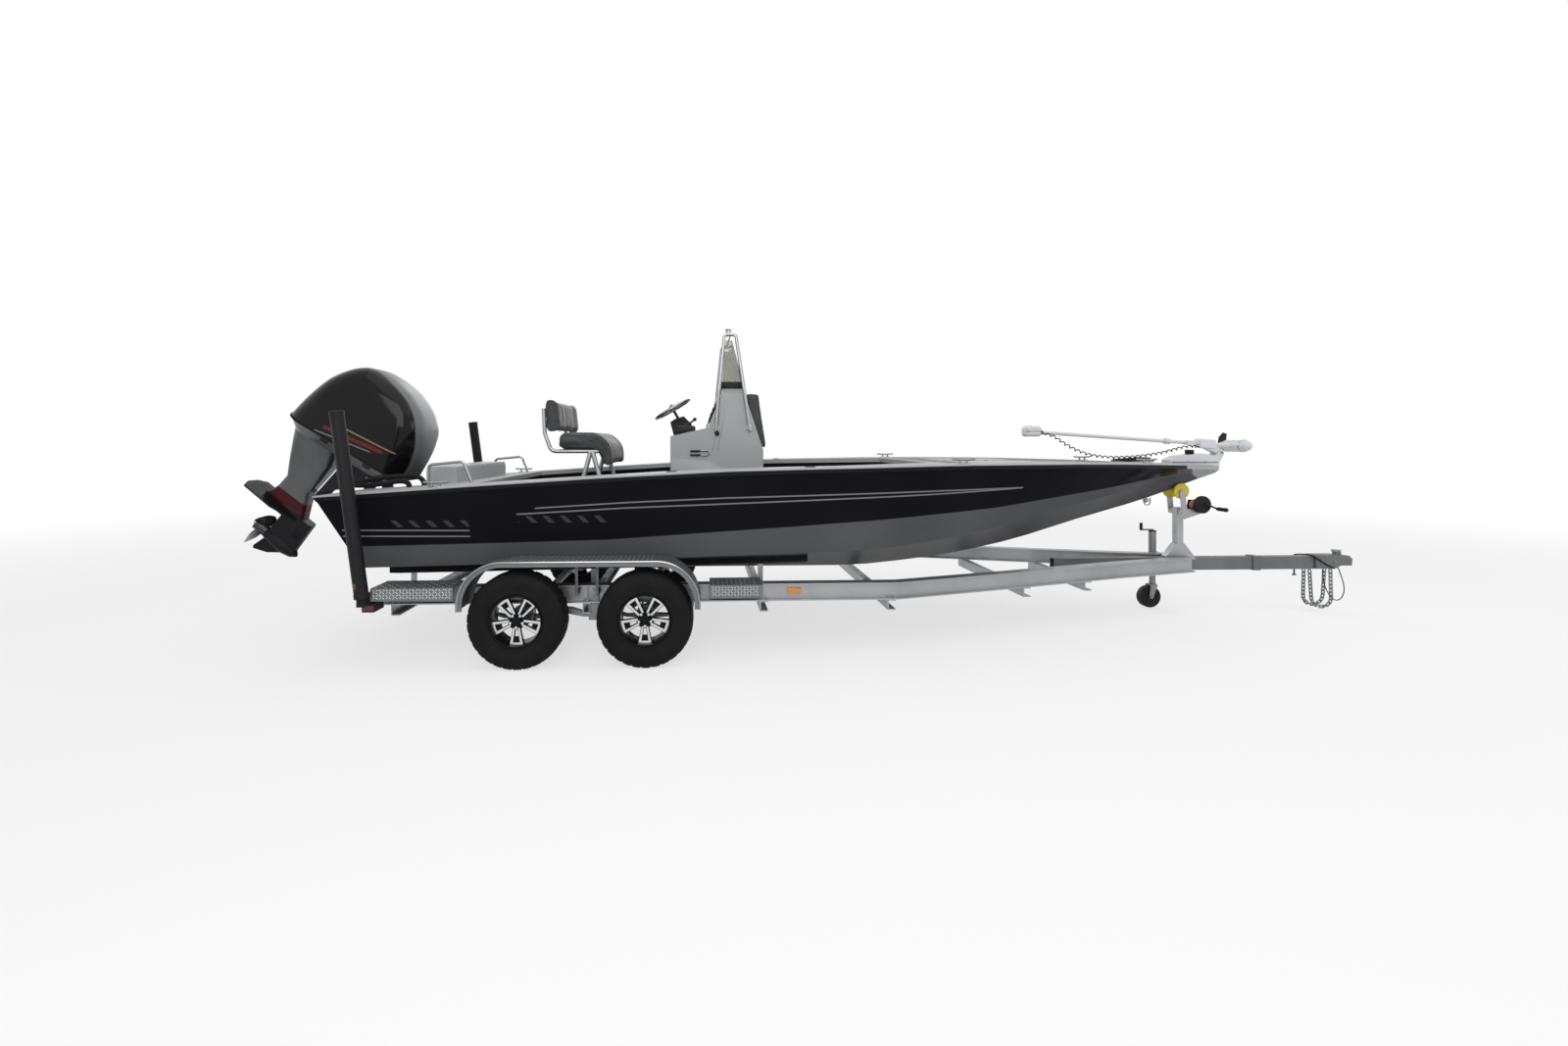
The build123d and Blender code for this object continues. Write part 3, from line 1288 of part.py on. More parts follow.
NODES = {
    "hull": make_hull(),
    "deck_moulding": make_deck(),
    "bow_lid_port": make_bow_lid(1),
    "bow_lid_starboard": make_bow_lid(-1),
    "stern_lid": make_stern_lid(),
    "stern_rail": make_stern_rail(),
    "rigging_hose": make_rigging_hose(),
    "console": make_console(),
    "front_pad": make_front_pad(),
    "front_cushion": make_front_cushion(),
    "windshield": make_windshield(),
    "console_rails": make_console_rails(),
    "helm_pod": make_helm(),
    "steering_wheel": make_steering_wheel(),
    "post_frame": make_post_frame(),
    "post_cushion": make_post_cushion(),
    "post_back": make_post_back(),
    "jack_plate": make_jack_plate(),
    "clamp_brackets": make_clamps(),
    "swivel_bracket": make_swivel(),
    "midsection": make_midsection(),
    "gearcase": make_gearcase(),
    "cowl": make_cowl(),
    "powerhead": make_powerhead(),
    "propeller": make_propeller(),
    "bow_mount": make_bow_mount(),
    "foot_pedal": make_foot_pedal(),
    "bow_shaft": make_bow_shaft(),
    "bow_head": make_bow_head(),
    "bow_pod": make_bow_pod(),
    "bow_prop": make_bow_prop(),
    "curly_cord": make_curly_cord(),
    "side_rails": make_rails(),
    "cross_members": make_cross_members(),
    "tongue": make_tongue(),
    "bunks": make_bunks(),
    "axles": make_axles(),
    "suspension": make_suspension(),
    "fenders": make_fenders(),
    "steps": make_steps(),
    "guide_posts": make_guide_posts(),
    "winch_post": make_winch_post(),
    "bow_roller": make_bow_roller(),
    "winch": make_winch(),
    "jack_sleeve": make_jack_sleeve(),
    "jack_leg": make_jack_leg(),
    "jack_fork": make_jack_fork(),
    "jack_wheel": make_jack_wheel(),
    "coupler": make_coupler(),
    "safety_chains": make_chains(),
    "breakaway_cable": make_breakaway_cable(),
}
for row, x in zip(("rear", "front"), WHEEL_X):
    for side_name, side in (("port", 1), ("starboard", -1)):
        NODES[f"rim_{row}_{side_name}"] = make_wheel_rim(x, side)
        NODES[f"tyre_{row}_{side_name}"] = make_tyre(x, side)

for name, shape in NODES.items():
    export_step(shape, f"parts/{name}.step")
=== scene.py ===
"""Looks of a bay boat standing on its tandem trailer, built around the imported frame.

Metres. X runs forward to the bow, Y to port, Z up, and the floor is Z = 0.
"""
from __future__ import annotations

import logging
import math
from dataclasses import dataclass
from enum import Enum
from typing import Iterable, Sequence

import bmesh
import bpy
from mathutils import Matrix, Vector

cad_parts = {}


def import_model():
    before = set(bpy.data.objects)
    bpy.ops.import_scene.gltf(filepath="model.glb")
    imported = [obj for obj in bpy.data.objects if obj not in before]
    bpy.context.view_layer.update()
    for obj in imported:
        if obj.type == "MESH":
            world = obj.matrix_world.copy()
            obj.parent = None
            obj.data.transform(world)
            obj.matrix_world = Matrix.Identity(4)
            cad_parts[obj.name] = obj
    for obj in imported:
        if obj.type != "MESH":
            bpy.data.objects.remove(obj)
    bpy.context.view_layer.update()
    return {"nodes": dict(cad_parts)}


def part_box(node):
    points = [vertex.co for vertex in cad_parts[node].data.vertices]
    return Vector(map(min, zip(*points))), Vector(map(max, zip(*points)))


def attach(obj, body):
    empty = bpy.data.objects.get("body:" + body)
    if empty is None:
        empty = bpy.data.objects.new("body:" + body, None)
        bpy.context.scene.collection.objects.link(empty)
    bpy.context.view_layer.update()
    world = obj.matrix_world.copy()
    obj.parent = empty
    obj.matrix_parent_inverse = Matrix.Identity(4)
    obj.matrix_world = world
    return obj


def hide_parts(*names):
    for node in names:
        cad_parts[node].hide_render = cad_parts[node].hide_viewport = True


Triple = tuple[float, float, float]
Route = Sequence[Triple]
Socket = bpy.types.NodeSocket

LOG = logging.getLogger("bay_boat")
UP = Vector((0, 0, 1))


def shown(name: str, data: bpy.types.ID) -> bpy.types.Object:
    """Adds an object to the scene.

    Args:
        name: Name of the object.
        data: Mesh, curve, lamp or camera of it.

    Returns:
        The new object.
    """
    made = bpy.data.objects.new(name, data)
    bpy.context.scene.collection.objects.link(made)
    return made


def verts_of(geom: Iterable[object]) -> list[bmesh.types.BMVert]:
    """Vertices among what an operator made."""
    return [part for part in geom if isinstance(part, bmesh.types.BMVert)]


def after_modifiers(thing: bpy.types.Object) -> bpy.types.Mesh:
    """Mesh of an object or curve as it is evaluated.

    Args:
        thing: Object that is in the scene.

    Returns:
        A new mesh.
    """
    bpy.context.view_layer.update()
    graph = bpy.context.evaluated_depsgraph_get()
    return bpy.data.meshes.new_from_object(thing.evaluated_get(graph))


class Body(str, Enum):
    """Bodies of the frame that a piece may ride on."""

    ROOT = "root"
    MOTOR = "motor"
    PROPELLER = "propeller"
    HELM = "steering_wheel"
    BOW_MOTOR = "bow_motor"
    BOW_PROP = "bow_prop"
    LID_PORT = "bow_lid_port"
    LID_STARBOARD = "bow_lid_starboard"
    JACK_FORK = "jack_fork"
    REAR_PORT = "wheel_rear_port"
    REAR_STARBOARD = "wheel_rear_starboard"
    FRONT_PORT = "wheel_front_port"
    FRONT_STARBOARD = "wheel_front_starboard"


class Grain(Enum):
    """Small relief of a surface."""

    NONE = "none"
    PEEL = "peel"
    CAST = "cast"
    BRUSHED = "brushed"
    LEATHER = "leather"
    CARPET = "carpet"
    MOULDED = "moulded"


@dataclass(frozen=True)
class Finish:
    """One surface finish with its colour, gloss and small relief.

    Attributes:
        name: Name of the material.
        colour: Linear base colour.
        metal: How far the surface is bare metal.
        rough: Mean roughness.
        coat: Weight of a clear coat.
        shine: Strength of the plain reflection, 0.5 for most plastics.
        grain: Kind of relief.
        grain_scale: Cells of the relief a metre.
        grain_depth: Height of the relief in metres.
        uneven: How far the colour strays either way, as a share.
        sheen: Weight of the fibre sheen.
        see_through: Weight of the light that passes through.
    """

    name: str
    colour: Triple
    metal: float = 0.0
    rough: float = 0.4
    coat: float = 0.0
    shine: float = 0.5
    grain: Grain = Grain.NONE
    grain_scale: float = 300.0
    grain_depth: float = 0.0004
    uneven: float = 0.06
    sheen: float = 0.0
    see_through: float = 0.0

    def material(self) -> bpy.types.Material:
        """Builds the material once and returns it.

        Returns:
            The material of this finish.
        """
        made = bpy.data.materials.get(self.name)
        if made:
            return made
        made = bpy.data.materials.new(self.name)
        made.use_nodes = True
        self.dress(Sketch(made.node_tree))
        return made

    def dress(self, sketch: "Sketch") -> None:
        """Sets the shader and its textures.

        Args:
            sketch: Node tree being drawn.
        """
        sketch.set_plain(self)
        place = sketch.place()
        cloud = sketch.noise(place, 2.3, detail=5.0)
        sketch.link(sketch.shades(cloud, self.colour, self.uneven), "Base Color")
        rough_cloud = sketch.noise(place, 11.0, detail=6.0)
        low, high = max(self.rough * 0.8, 0.02), min(self.rough * 1.25, 1.0)
        sketch.link(sketch.between(rough_cloud, low, high), "Roughness")
        sketch.relief(place, self)


class Sketch:
    """Node tree of a material or the world, with short calls for its usual nodes."""

    def __init__(self, tree: bpy.types.NodeTree) -> None:
        """Starts from a tree and the plain shader in it."""
        self.tree = tree
        self.shader = tree.nodes.get("Principled BSDF")

    def node(self, kind: str, **settings: object) -> bpy.types.Node:
        """Adds a node and sets its options.

        Args:
            kind: Type of the node.
            settings: Its options by name.

        Returns:
            The new node.
        """
        made = self.tree.nodes.new(kind)
        for key, value in settings.items():
            setattr(made, key, value)
        return made

    def feed(self, value: object, socket: Socket) -> None:
        """Links a socket, or sets a plain value, on an input.

        Args:
            value: Socket or plain value.
            socket: Input that it goes to.
        """
        if isinstance(value, Socket):
            self.tree.links.new(value, socket)
        else:
            socket.default_value = value

    def link(self, value: Socket, name: str) -> None:
        """Links a socket to an input of the shader."""
        self.tree.links.new(value, self.shader.inputs[name])

    def set_plain(self, finish: Finish) -> None:
        """Sets the values that are the same all over the surface.

        Args:
            finish: Finish that they are read from.
        """
        values = {
            "Base Color": (*finish.colour, 1.0), "Metallic": finish.metal,
            "Roughness": finish.rough, "Coat Weight": finish.coat, "Coat Roughness": 0.06,
            "Specular IOR Level": finish.shine, "Sheen Weight": finish.sheen,
            "Transmission Weight": finish.see_through,
        }
        for name, value in values.items():
            self.shader.inputs[name].default_value = value

    def place(self, scale: Triple | None = None) -> Socket:
        """Object coordinates.

        Args:
            scale: Scale along each axis, where it isn't one.

        Returns:
            The coordinates.
        """
        coords = self.node("ShaderNodeTexCoord")
        if not scale:
            return coords.outputs["Object"]
        mapping = self.node("ShaderNodeMapping")
        self.feed(coords.outputs["Object"], mapping.inputs["Vector"])
        mapping.inputs["Scale"].default_value = scale
        return mapping.outputs["Vector"]

    def axes(self, vector: Socket) -> tuple[Socket, ...]:
        """Splits a vector.

        Args:
            vector: Vector that is split.

        Returns:
            Its three axes.
        """
        split = self.node("ShaderNodeSeparateXYZ")
        self.feed(vector, split.inputs[0])
        return tuple(split.outputs)

    def noise(self, vector: Socket, scale: float, detail: float = 3.0) -> Socket:
        """Cloudy noise from 0 to 1.

        Args:
            vector: Coordinates.
            scale: Clouds a metre.
            detail: Steps of finer clouds.

        Returns:
            The noise.
        """
        made = self.node("ShaderNodeTexNoise")
        self.feed(vector, made.inputs["Vector"])
        made.inputs["Scale"].default_value = scale
        made.inputs["Detail"].default_value = detail
        return made.outputs["Fac"]

    def cells(self, vector: Socket, scale: float) -> Socket:
        """Distance to the nearest cell's centre.

        Args:
            vector: Coordinates.
            scale: Cells a metre.

        Returns:
            The distance.
        """
        made = self.node("ShaderNodeTexVoronoi")
        self.feed(vector, made.inputs["Vector"])
        made.inputs["Scale"].default_value = scale
        return made.outputs["Distance"]

    def math(self, kind: str, *values: object) -> Socket:
        """One arithmetic node.

        Args:
            kind: Operation.
            values: Sockets or numbers that it works on.

        Returns:
            The result.
        """
        made = self.node("ShaderNodeMath", operation=kind)
        for value, socket in zip(values, made.inputs):
            self.feed(value, socket)
        return made.outputs[0]

    def between(self, value: Socket, low: float, high: float, start: float = 0.25,
                end: float = 0.75) -> Socket:
        """Maps a range of a value to another range.

        Args:
            value: Value that is mapped.
            low: Result at the start.
            high: Result at the end.
            start: Value where the range starts.
            end: Value where it ends.

        Returns:
            The mapped value.
        """
        made = self.node("ShaderNodeMapRange")
        self.feed(value, made.inputs["Value"])
        for name, number in (("From Min", start), ("From Max", end), ("To Min", low), ("To Max", high)):
            made.inputs[name].default_value = number
        return made.outputs["Result"]

    def mix(self, share: object, first: object, second: object) -> Socket:
        """Mixes two colours.

        Args:
            share: Share of the second.
            first: First colour.
            second: Second colour.

        Returns:
            The mixed colour.
        """
        made = self.node("ShaderNodeMix", data_type="RGBA")
        self.feed(share, made.inputs["Factor"])
        for value, socket in ((first, made.inputs[6]), (second, made.inputs[7])):
            self.feed((*value, 1.0) if isinstance(value, tuple) else value, socket)
        return made.outputs[2]

    def shades(self, value: Socket, colour: Triple, stray: float) -> Socket:
        """A colour that strays darker and lighter with a value.

        Args:
            value: Value from 0 to 1.
            colour: Middle colour.
            stray: How far it strays, as a share.

        Returns:
            The colour.
        """
        dark = tuple(part * (1 - stray) for part in colour)
        light = tuple(min(part * (1 + stray), 1.0) for part in colour)
        return self.mix(self.between(value, 0.0, 1.0), dark, light)

    def curve(self, value: Socket, points: Sequence[tuple[float, float]]) -> Socket:
        """Straight runs through points, as a chain of clamped maps.

        Args:
            value: Value that is looked up.
            points: Rows of (value, result).

        Returns:
            The result.
        """
        total: object = points[0][1]
        for (start, low), (end, high) in zip(points, points[1:]):
            total = self.math("ADD", total, self.between(value, 0.0, high - low, start, end))
        return total

    def band(self, value: Socket, low: float, high: float, soft: float = 0.001) -> Socket:
        """One inside a range of a value and zero outside.

        Args:
            value: Value that is looked at.
            low: Start of the range.
            high: End of the range.
            soft: Half width of its edges.

        Returns:
            The share.
        """
        up = self.between(value, 0.0, 1.0, low - soft, low + soft)
        down = self.between(value, 1.0, 0.0, high - soft, high + soft)
        return self.math("MULTIPLY", up, down)

    def relief(self, place: Socket, finish: Finish) -> None:
        """Adds the small relief of a finish to the shader's normal.

        Args:
            place: Object coordinates.
            finish: Finish with its grain.
        """
        scale = finish.grain_scale
        if finish.grain is Grain.NONE:
            return
        if finish.grain is Grain.BRUSHED:
            height = self.noise(self.place((1.0, 12.0, 12.0)), scale / 6, detail=4.0)
        elif finish.grain is Grain.LEATHER:
            height = self.math("SUBTRACT", 1.0, self.cells(place, scale))
        elif finish.grain is Grain.CARPET:
            tufts = self.cells(place, scale)
            height = self.math("MULTIPLY", tufts, self.noise(place, scale * 0.4, detail=2.0))
        else:
            height = self.noise(place, scale, detail=6.0 if finish.grain is Grain.CAST else 2.0)
        made = self.node("ShaderNodeBump")
        made.inputs["Distance"].default_value = finish.grain_depth
        self.feed(height, made.inputs["Height"])
        self.link(made.outputs["Normal"], "Normal")

    def seen(self) -> Socket:
        """Finds the rays that show a surface itself, in gloss and glass too.

        Returns:
            One for those rays, zero for the others.
        """
        path = self.node("ShaderNodeLightPath")
        total = path.outputs["Is Camera Ray"]
        for kind in ("Is Glossy Ray", "Is Transmission Ray"):
            total = self.math("MAXIMUM", total, path.outputs[kind])
        return total

    def backdrop(self, kind: str, lit: Socket, share: Socket, end: str) -> None:
        """Shows a lit surface as white, by a share.

        Args:
            kind: Shader that gives the white.
            lit: Shader of the surface as it is lit.
            share: Share of the white.
            end: Name of the output node.
        """
        white = self.node(kind)
        white.inputs["Color"].default_value = (1, 1, 1, 1)
        mix = self.node("ShaderNodeMixShader")
        for value, socket in zip((share, lit, white.outputs[0]), mix.inputs):
            self.feed(value, socket)
        self.feed(mix.outputs[0], self.tree.nodes[end].inputs["Surface"])


GEL_GREY = Finish("gel_grey", (0.38, 0.388, 0.398), rough=0.4, shine=0.25, grain=Grain.PEEL, uneven=0.05,
                  grain_scale=60, grain_depth=0.0002)
VINYL_DARK = Finish("vinyl_dark", (0.055, 0.056, 0.06), rough=0.52, shine=0.25, grain=Grain.LEATHER,
                    grain_scale=420, grain_depth=0.0006, sheen=0.1)
STAINLESS = Finish("stainless", (0.3, 0.305, 0.31), metal=1.0, rough=0.2, grain=Grain.PEEL,
                   grain_scale=40, grain_depth=0.0001)
ALLOY = Finish("alloy", (0.37, 0.378, 0.387), metal=0.85, rough=0.4, grain=Grain.BRUSHED, grain_scale=240,
               grain_depth=0.0003, uneven=0.12)
ALLOY_DULL = Finish("alloy_dull", (0.16, 0.163, 0.168), metal=0.8, rough=0.5, grain=Grain.BRUSHED,
                    grain_scale=240, grain_depth=0.0003, uneven=0.14)
ALLOY_BRIGHT = Finish("alloy_bright", (0.62, 0.63, 0.64), metal=0.9, rough=0.3, grain=Grain.CAST,
                      grain_scale=300, grain_depth=0.0002)
ALLOY_TREAD = Finish("alloy_tread", (0.17, 0.174, 0.18), metal=0.7, rough=0.5, grain=Grain.CAST,
                     grain_scale=200, grain_depth=0.0003, uneven=0.16)
BRONZE_DARK = Finish("propeller_dark", (0.055, 0.056, 0.06), metal=0.85, rough=0.3, uneven=0.12)
GALVANISED = Finish("galvanised_steel", (0.27, 0.277, 0.285), metal=0.8, rough=0.5, grain=Grain.CAST,
                    grain_scale=70, grain_depth=0.0004, uneven=0.2)
SATIN_BLACK = Finish("satin_black", (0.012, 0.012, 0.014), rough=0.42, shine=0.16, grain=Grain.CAST,
                     grain_scale=500, grain_depth=0.0003)
PLASTIC_BLACK = Finish("plastic_black", (0.012, 0.012, 0.014), rough=0.5, shine=0.16, grain=Grain.MOULDED,
                       grain_scale=900, grain_depth=0.0003)
PLASTIC_WHITE = Finish("plastic_white", (0.62, 0.635, 0.65), rough=0.34, grain=Grain.MOULDED,
                       grain_scale=500, grain_depth=0.0001, uneven=0.03)
RUBBER = Finish("rubber", (0.012, 0.012, 0.013), rough=0.7, shine=0.12, grain=Grain.MOULDED, grain_scale=700,
                grain_depth=0.0004, uneven=0.2)
TYRE_RUBBER = Finish("tyre_rubber", (0.01, 0.01, 0.011), rough=0.66, shine=0.1, grain=Grain.CAST,
                     grain_scale=500, grain_depth=0.0005, uneven=0.25)
CARPET = Finish("carpet", (0.012, 0.012, 0.014), rough=0.95, shine=0.1, grain=Grain.CARPET, grain_scale=500,
                grain_depth=0.003, sheen=0.2, uneven=0.3)
MOTOR_DARK = Finish("motor_dark", (0.014, 0.014, 0.016), rough=0.34, shine=0.09,
                    grain=Grain.PEEL, grain_scale=90, grain_depth=0.0002)
ROLLER_YELLOW = Finish("roller_yellow", (0.62, 0.46, 0.03), rough=0.4, grain=Grain.MOULDED,
                       grain_scale=300, grain_depth=0.0003, uneven=0.15)
STRAP_ORANGE = Finish("strap_orange", (0.5, 0.16, 0.05), rough=0.85, grain=Grain.CARPET,
                      grain_scale=600, grain_depth=0.001, sheen=0.3)
LENS_RED = Finish("lens_red", (0.09, 0.004, 0.004), rough=0.12, coat=0.3)
LENS_AMBER = Finish("lens_amber", (0.7, 0.25, 0.02), rough=0.12, coat=0.6)
LENS_CLEAR = Finish("lens_clear", (0.9, 0.9, 0.92), rough=0.08, see_through=0.7)
RIM_BLACK = Finish("rim_black", (0.008, 0.008, 0.009), rough=0.24, shine=0.07)
RIM_BRIGHT = Finish("rim_bright", (0.66, 0.67, 0.68), metal=1.0, rough=0.2, grain=Grain.BRUSHED,
                    grain_scale=500, grain_depth=0.0001)
SHIELD = Finish("tinted_shield", (0.3, 0.31, 0.25), rough=0.04, see_through=0.7, shine=0.2, uneven=0.02)
SCREEN = Finish("screen", (0.01, 0.014, 0.02), rough=0.06, coat=1.0)


class Form:
    """A mesh being modelled in the frame's own place.

    Each shape is made by itself and then joined, in the skin number that is set.
    """

    def __init__(self) -> None:
        """Starts with nothing."""
        self.bm = bmesh.new()
        self.skin = 0

    def _join(self, shape: bmesh.types.BMesh) -> None:
        """Joins a shape to the mesh, in the current skin.

        Args:
            shape: Shape, which is freed.
        """
        for face in shape.faces:
            face.material_index = self.skin
        mesh = bpy.data.meshes.new("shape")
        shape.to_mesh(mesh)
        shape.free()
        self.bm.from_mesh(mesh)
        bpy.data.meshes.remove(mesh)

    @staticmethod
    def _round(shape: bmesh.types.BMesh, edges: Iterable[bmesh.types.BMEdge], width: float,
               segments: int) -> None:
        """Rounds edges of a shape.

        Args:
            shape: Shape that they are on.
            edges: Edges to round.
            width: Width of the rounding, none where it is zero.
            segments: Steps of the rounding.
        """
        if width > 0:
            bmesh.ops.bevel(shape, geom=list(edges), offset=width, segments=segments, profile=0.5,
                            affect="EDGES", material=-1, clamp_overlap=True)

    def box(self, low: Triple, high: Triple, edge: float = 0.002, segments: int = 2,
            turn: Matrix | None = None) -> None:
        """Box between two corners, with rounded edges.

        Args:
            low: Lowest corner.
            high: Highest corner.
            edge: Width of the rounding.
            segments: Steps of the rounding.
            turn: Turn about the box's middle.
        """
        shape = bmesh.new()
        size = [b - a for a, b in zip(low, high)]
        place = Matrix.Translation((Vector(low) + Vector(high)) / 2)
        if turn:
            place = place @ turn.to_4x4()
        bmesh.ops.create_cube(shape, size=1.0, matrix=place @ Matrix.Diagonal((*size, 1)))
        self._round(shape, shape.edges, min(edge, min(size) * 0.45), segments)
        self._join(shape)

    def drum(self, start: Triple, end: Triple, radius: float, end_radius: float | None = None,
             sides: int = 24, edge: float = 0.0, segments: int = 2) -> None:
        """Round bar or cone from one point to another.

        Args:
            start: Centre of the first end.
            end: Centre of the other end.
            radius: Radius at the start.
            end_radius: Radius at the end, the same when left out.
            sides: Faces around.
            edge: Width of the rounding at both ends.
            segments: Steps of the rounding.
        """
        first, last = Vector(start), Vector(end)
        run = last - first
        turn = UP.rotation_difference(run).to_matrix().to_4x4()
        shape = bmesh.new()
        bmesh.ops.create_cone(
            shape, cap_ends=True, segments=sides, radius1=radius,
            radius2=radius if end_radius is None else end_radius, depth=run.length,
            matrix=Matrix.Translation((first + last) / 2) @ turn,
        )
        caps = [face for face in shape.faces if len(face.verts) > 4]
        self._round(shape, {edge_of for face in caps for edge_of in face.edges}, edge, segments)
        self._join(shape)

    def ball(self, centre: Triple, radius: float, stretch: Triple, sides: int = 20) -> None:
        """Egg, as a ball that is stretched.

        Args:
            centre: Its centre.
            radius: Radius of the ball.
            stretch: Stretch along each axis.
            sides: Faces around.
        """
        shape = bmesh.new()
        matrix = Matrix.Translation(centre) @ Matrix.Diagonal((*stretch, 1))
        bmesh.ops.create_uvsphere(shape, u_segments=sides, v_segments=sides // 2, radius=radius,
                                  matrix=matrix)
        self._join(shape)

    def lathe(self, profile: Sequence[tuple[float, float]], centre: Triple = (0, 0, 0),
              axis: Triple = (0, 0, 1), steps: int = 48) -> None:
        """Turned shape from a closed or open profile of (radius, along).

        Args:
            profile: Points of the profile.
            centre: Where along is zero.
            axis: Direction of along.
            steps: Steps around.
        """
        shape = bmesh.new()
        closed = profile[0] == profile[-1]
        points = profile[:-1] if closed else profile
        verts = [shape.verts.new((radius, 0, along)) for radius, along in points]
        pairs = list(zip(verts, verts[1:])) + ([(verts[-1], verts[0])] if closed else [])
        edges = [shape.edges.new(pair) for pair in pairs]
        bmesh.ops.spin(shape, geom=verts + edges, cent=(0, 0, 0), axis=(0, 0, 1),
                       angle=math.tau, steps=steps, use_merge=True)
        bmesh.ops.remove_doubles(shape, verts=shape.verts, dist=1e-6)
        bmesh.ops.recalc_face_normals(shape, faces=shape.faces)
        turn = UP.rotation_difference(Vector(axis)).to_matrix().to_4x4()
        shape.transform(Matrix.Translation(centre) @ turn)
        self._join(shape)

    def plate(self, outline: Sequence[Triple], push: Triple, edge: float = 0.0, segments: int = 2) -> None:
        """Flat outline pushed along a direction into a plate.

        Args:
            outline: Corners of the outline in order.
            push: Direction and thickness.
            edge: Width of the rounding of all edges.
            segments: Steps of the rounding.
        """
        shape = bmesh.new()
        face = shape.faces.new([shape.verts.new(point) for point in outline])
        made = bmesh.ops.extrude_face_region(shape, geom=[face], use_keep_orig=True)["geom"]
        bmesh.ops.translate(shape, vec=push, verts=verts_of(made))
        bmesh.ops.recalc_face_normals(shape, faces=shape.faces)
        self._round(shape, shape.edges, edge, segments)
        self._join(shape)

    def skin_over(self, rings: Sequence[Sequence[Triple]], caps: bool = True) -> None:
        """Surface through closed rings of equal counts of points.

        Args:
            rings: Points of each ring in order.
            caps: Whether the first and last ring are filled.
        """
        shape = bmesh.new()
        rows = [[shape.verts.new(point) for point in ring] for ring in rings]
        count = len(rows[0])
        for low, high in zip(rows, rows[1:]):
            for index in range(count):
                after = (index + 1) % count
                shape.faces.new((low[index], low[after], high[after], high[index]))
        if caps:
            shape.faces.new(rows[0])
            shape.faces.new(rows[-1])
        bmesh.ops.recalc_face_normals(shape, faces=shape.faces)
        self._join(shape)

    def pipe(self, points: Route, radius: float, sides: int = 12, bend: int = 8) -> None:
        """Round tube along a smooth route.

        Args:
            points: Control points of the route.
            radius: Radius of the tube.
            sides: Faces around.
            bend: Steps between two points.
        """
        curve = route_curve("pipe", points, radius, bend, sides)
        curve.data.use_fill_caps = True
        mesh = curve.to_mesh()
        shape = bmesh.new()
        shape.from_mesh(mesh)
        curve.to_mesh_clear()
        data = curve.data
        bpy.data.objects.remove(curve)
        bpy.data.curves.remove(data)
        self._join(shape)

    def bolt(self, centre: Triple, axis: Triple, radius: float = 0.009, washer: bool = True) -> None:
        """Hexagon head on a washer.

        Args:
            centre: Where the head stands on its part.
            axis: Direction in which it points.
            radius: Radius of the head.
            washer: Whether it has a washer.
        """
        base, along = Vector(centre), Vector(axis).normalized()
        if washer:
            self.drum(base, base + along * radius * 0.25, radius * 1.45, sides=16)
        self.drum(base, base + along * radius * 0.95, radius, radius * 0.96, sides=6,
                  edge=radius * 0.08, segments=1)

    def mirror(self) -> None:
        """Adds the mirror image across the boat's middle plane."""
        geom = list(self.bm.verts) + list(self.bm.edges) + list(self.bm.faces)
        made = bmesh.ops.duplicate(self.bm, geom=geom)["geom"]
        bmesh.ops.transform(self.bm, matrix=Matrix.Diagonal((1, -1, 1, 1)), verts=verts_of(made))
        faces = [part for part in made if isinstance(part, bmesh.types.BMFace)]
        bmesh.ops.reverse_faces(self.bm, faces=faces)

    def both(self, name: str, finishes: Finish | Sequence[Finish],
             smooth: float = 32.0) -> bpy.types.Object:
        """Turns the mesh and its mirror image into a piece that rides on the boat."""
        self.mirror()
        return self.piece(name, finishes, smooth=smooth)

    def piece(self, name: str, finishes: Finish | Sequence[Finish], body: Body = Body.ROOT,
              smooth: float = 32.0) -> bpy.types.Object:
        """Turns the mesh into a finished piece of the boat.

        Args:
            name: Name of the piece.
            finishes: One finish, or one for each skin number.
            body: Body that it rides on.
            smooth: Largest angle in degrees that is shaded smooth.

        Returns:
            The new object.
        """
        mesh = bpy.data.meshes.new(name)
        self.bm.to_mesh(mesh)
        self.bm.free()
        finishes = [finishes] if isinstance(finishes, Finish) else list(finishes)
        for finish in finishes:
            mesh.materials.append(finish.material())
        mesh.shade_smooth()
        mesh.set_sharp_from_angle(angle=math.radians(smooth))
        made = shown(name, mesh)
        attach(made, body.value)
        LOG.info("%s: %d faces", name, len(mesh.polygons))
        return made


def route_curve(name: str, points: Route, radius: float, bend: int, sides: int) -> bpy.types.Object:
    """A smooth tube curve whose control points are the route's points.

    Args:
        name: Name of the curve.
        points: Control points of the route.
        radius: Radius of the tube, or zero for the bare line.
        bend: Steps between two points.
        sides: Faces around the tube.

    Returns:
        The curve's object, linked to the scene.
    """
    data = bpy.data.curves.new(name, "CURVE")
    data.dimensions = "3D"
    data.bevel_depth = radius
    data.bevel_resolution = max(sides // 4 - 1, 0)
    spline = data.splines.new("NURBS")
    spline.points.add(len(points) - 1)
    for control, point in zip(spline.points, points):
        control.co = (*point, 1.0)
    spline.order_u = 3
    spline.use_endpoint_u = True
    spline.resolution_u = bend
    return shown(name, data)


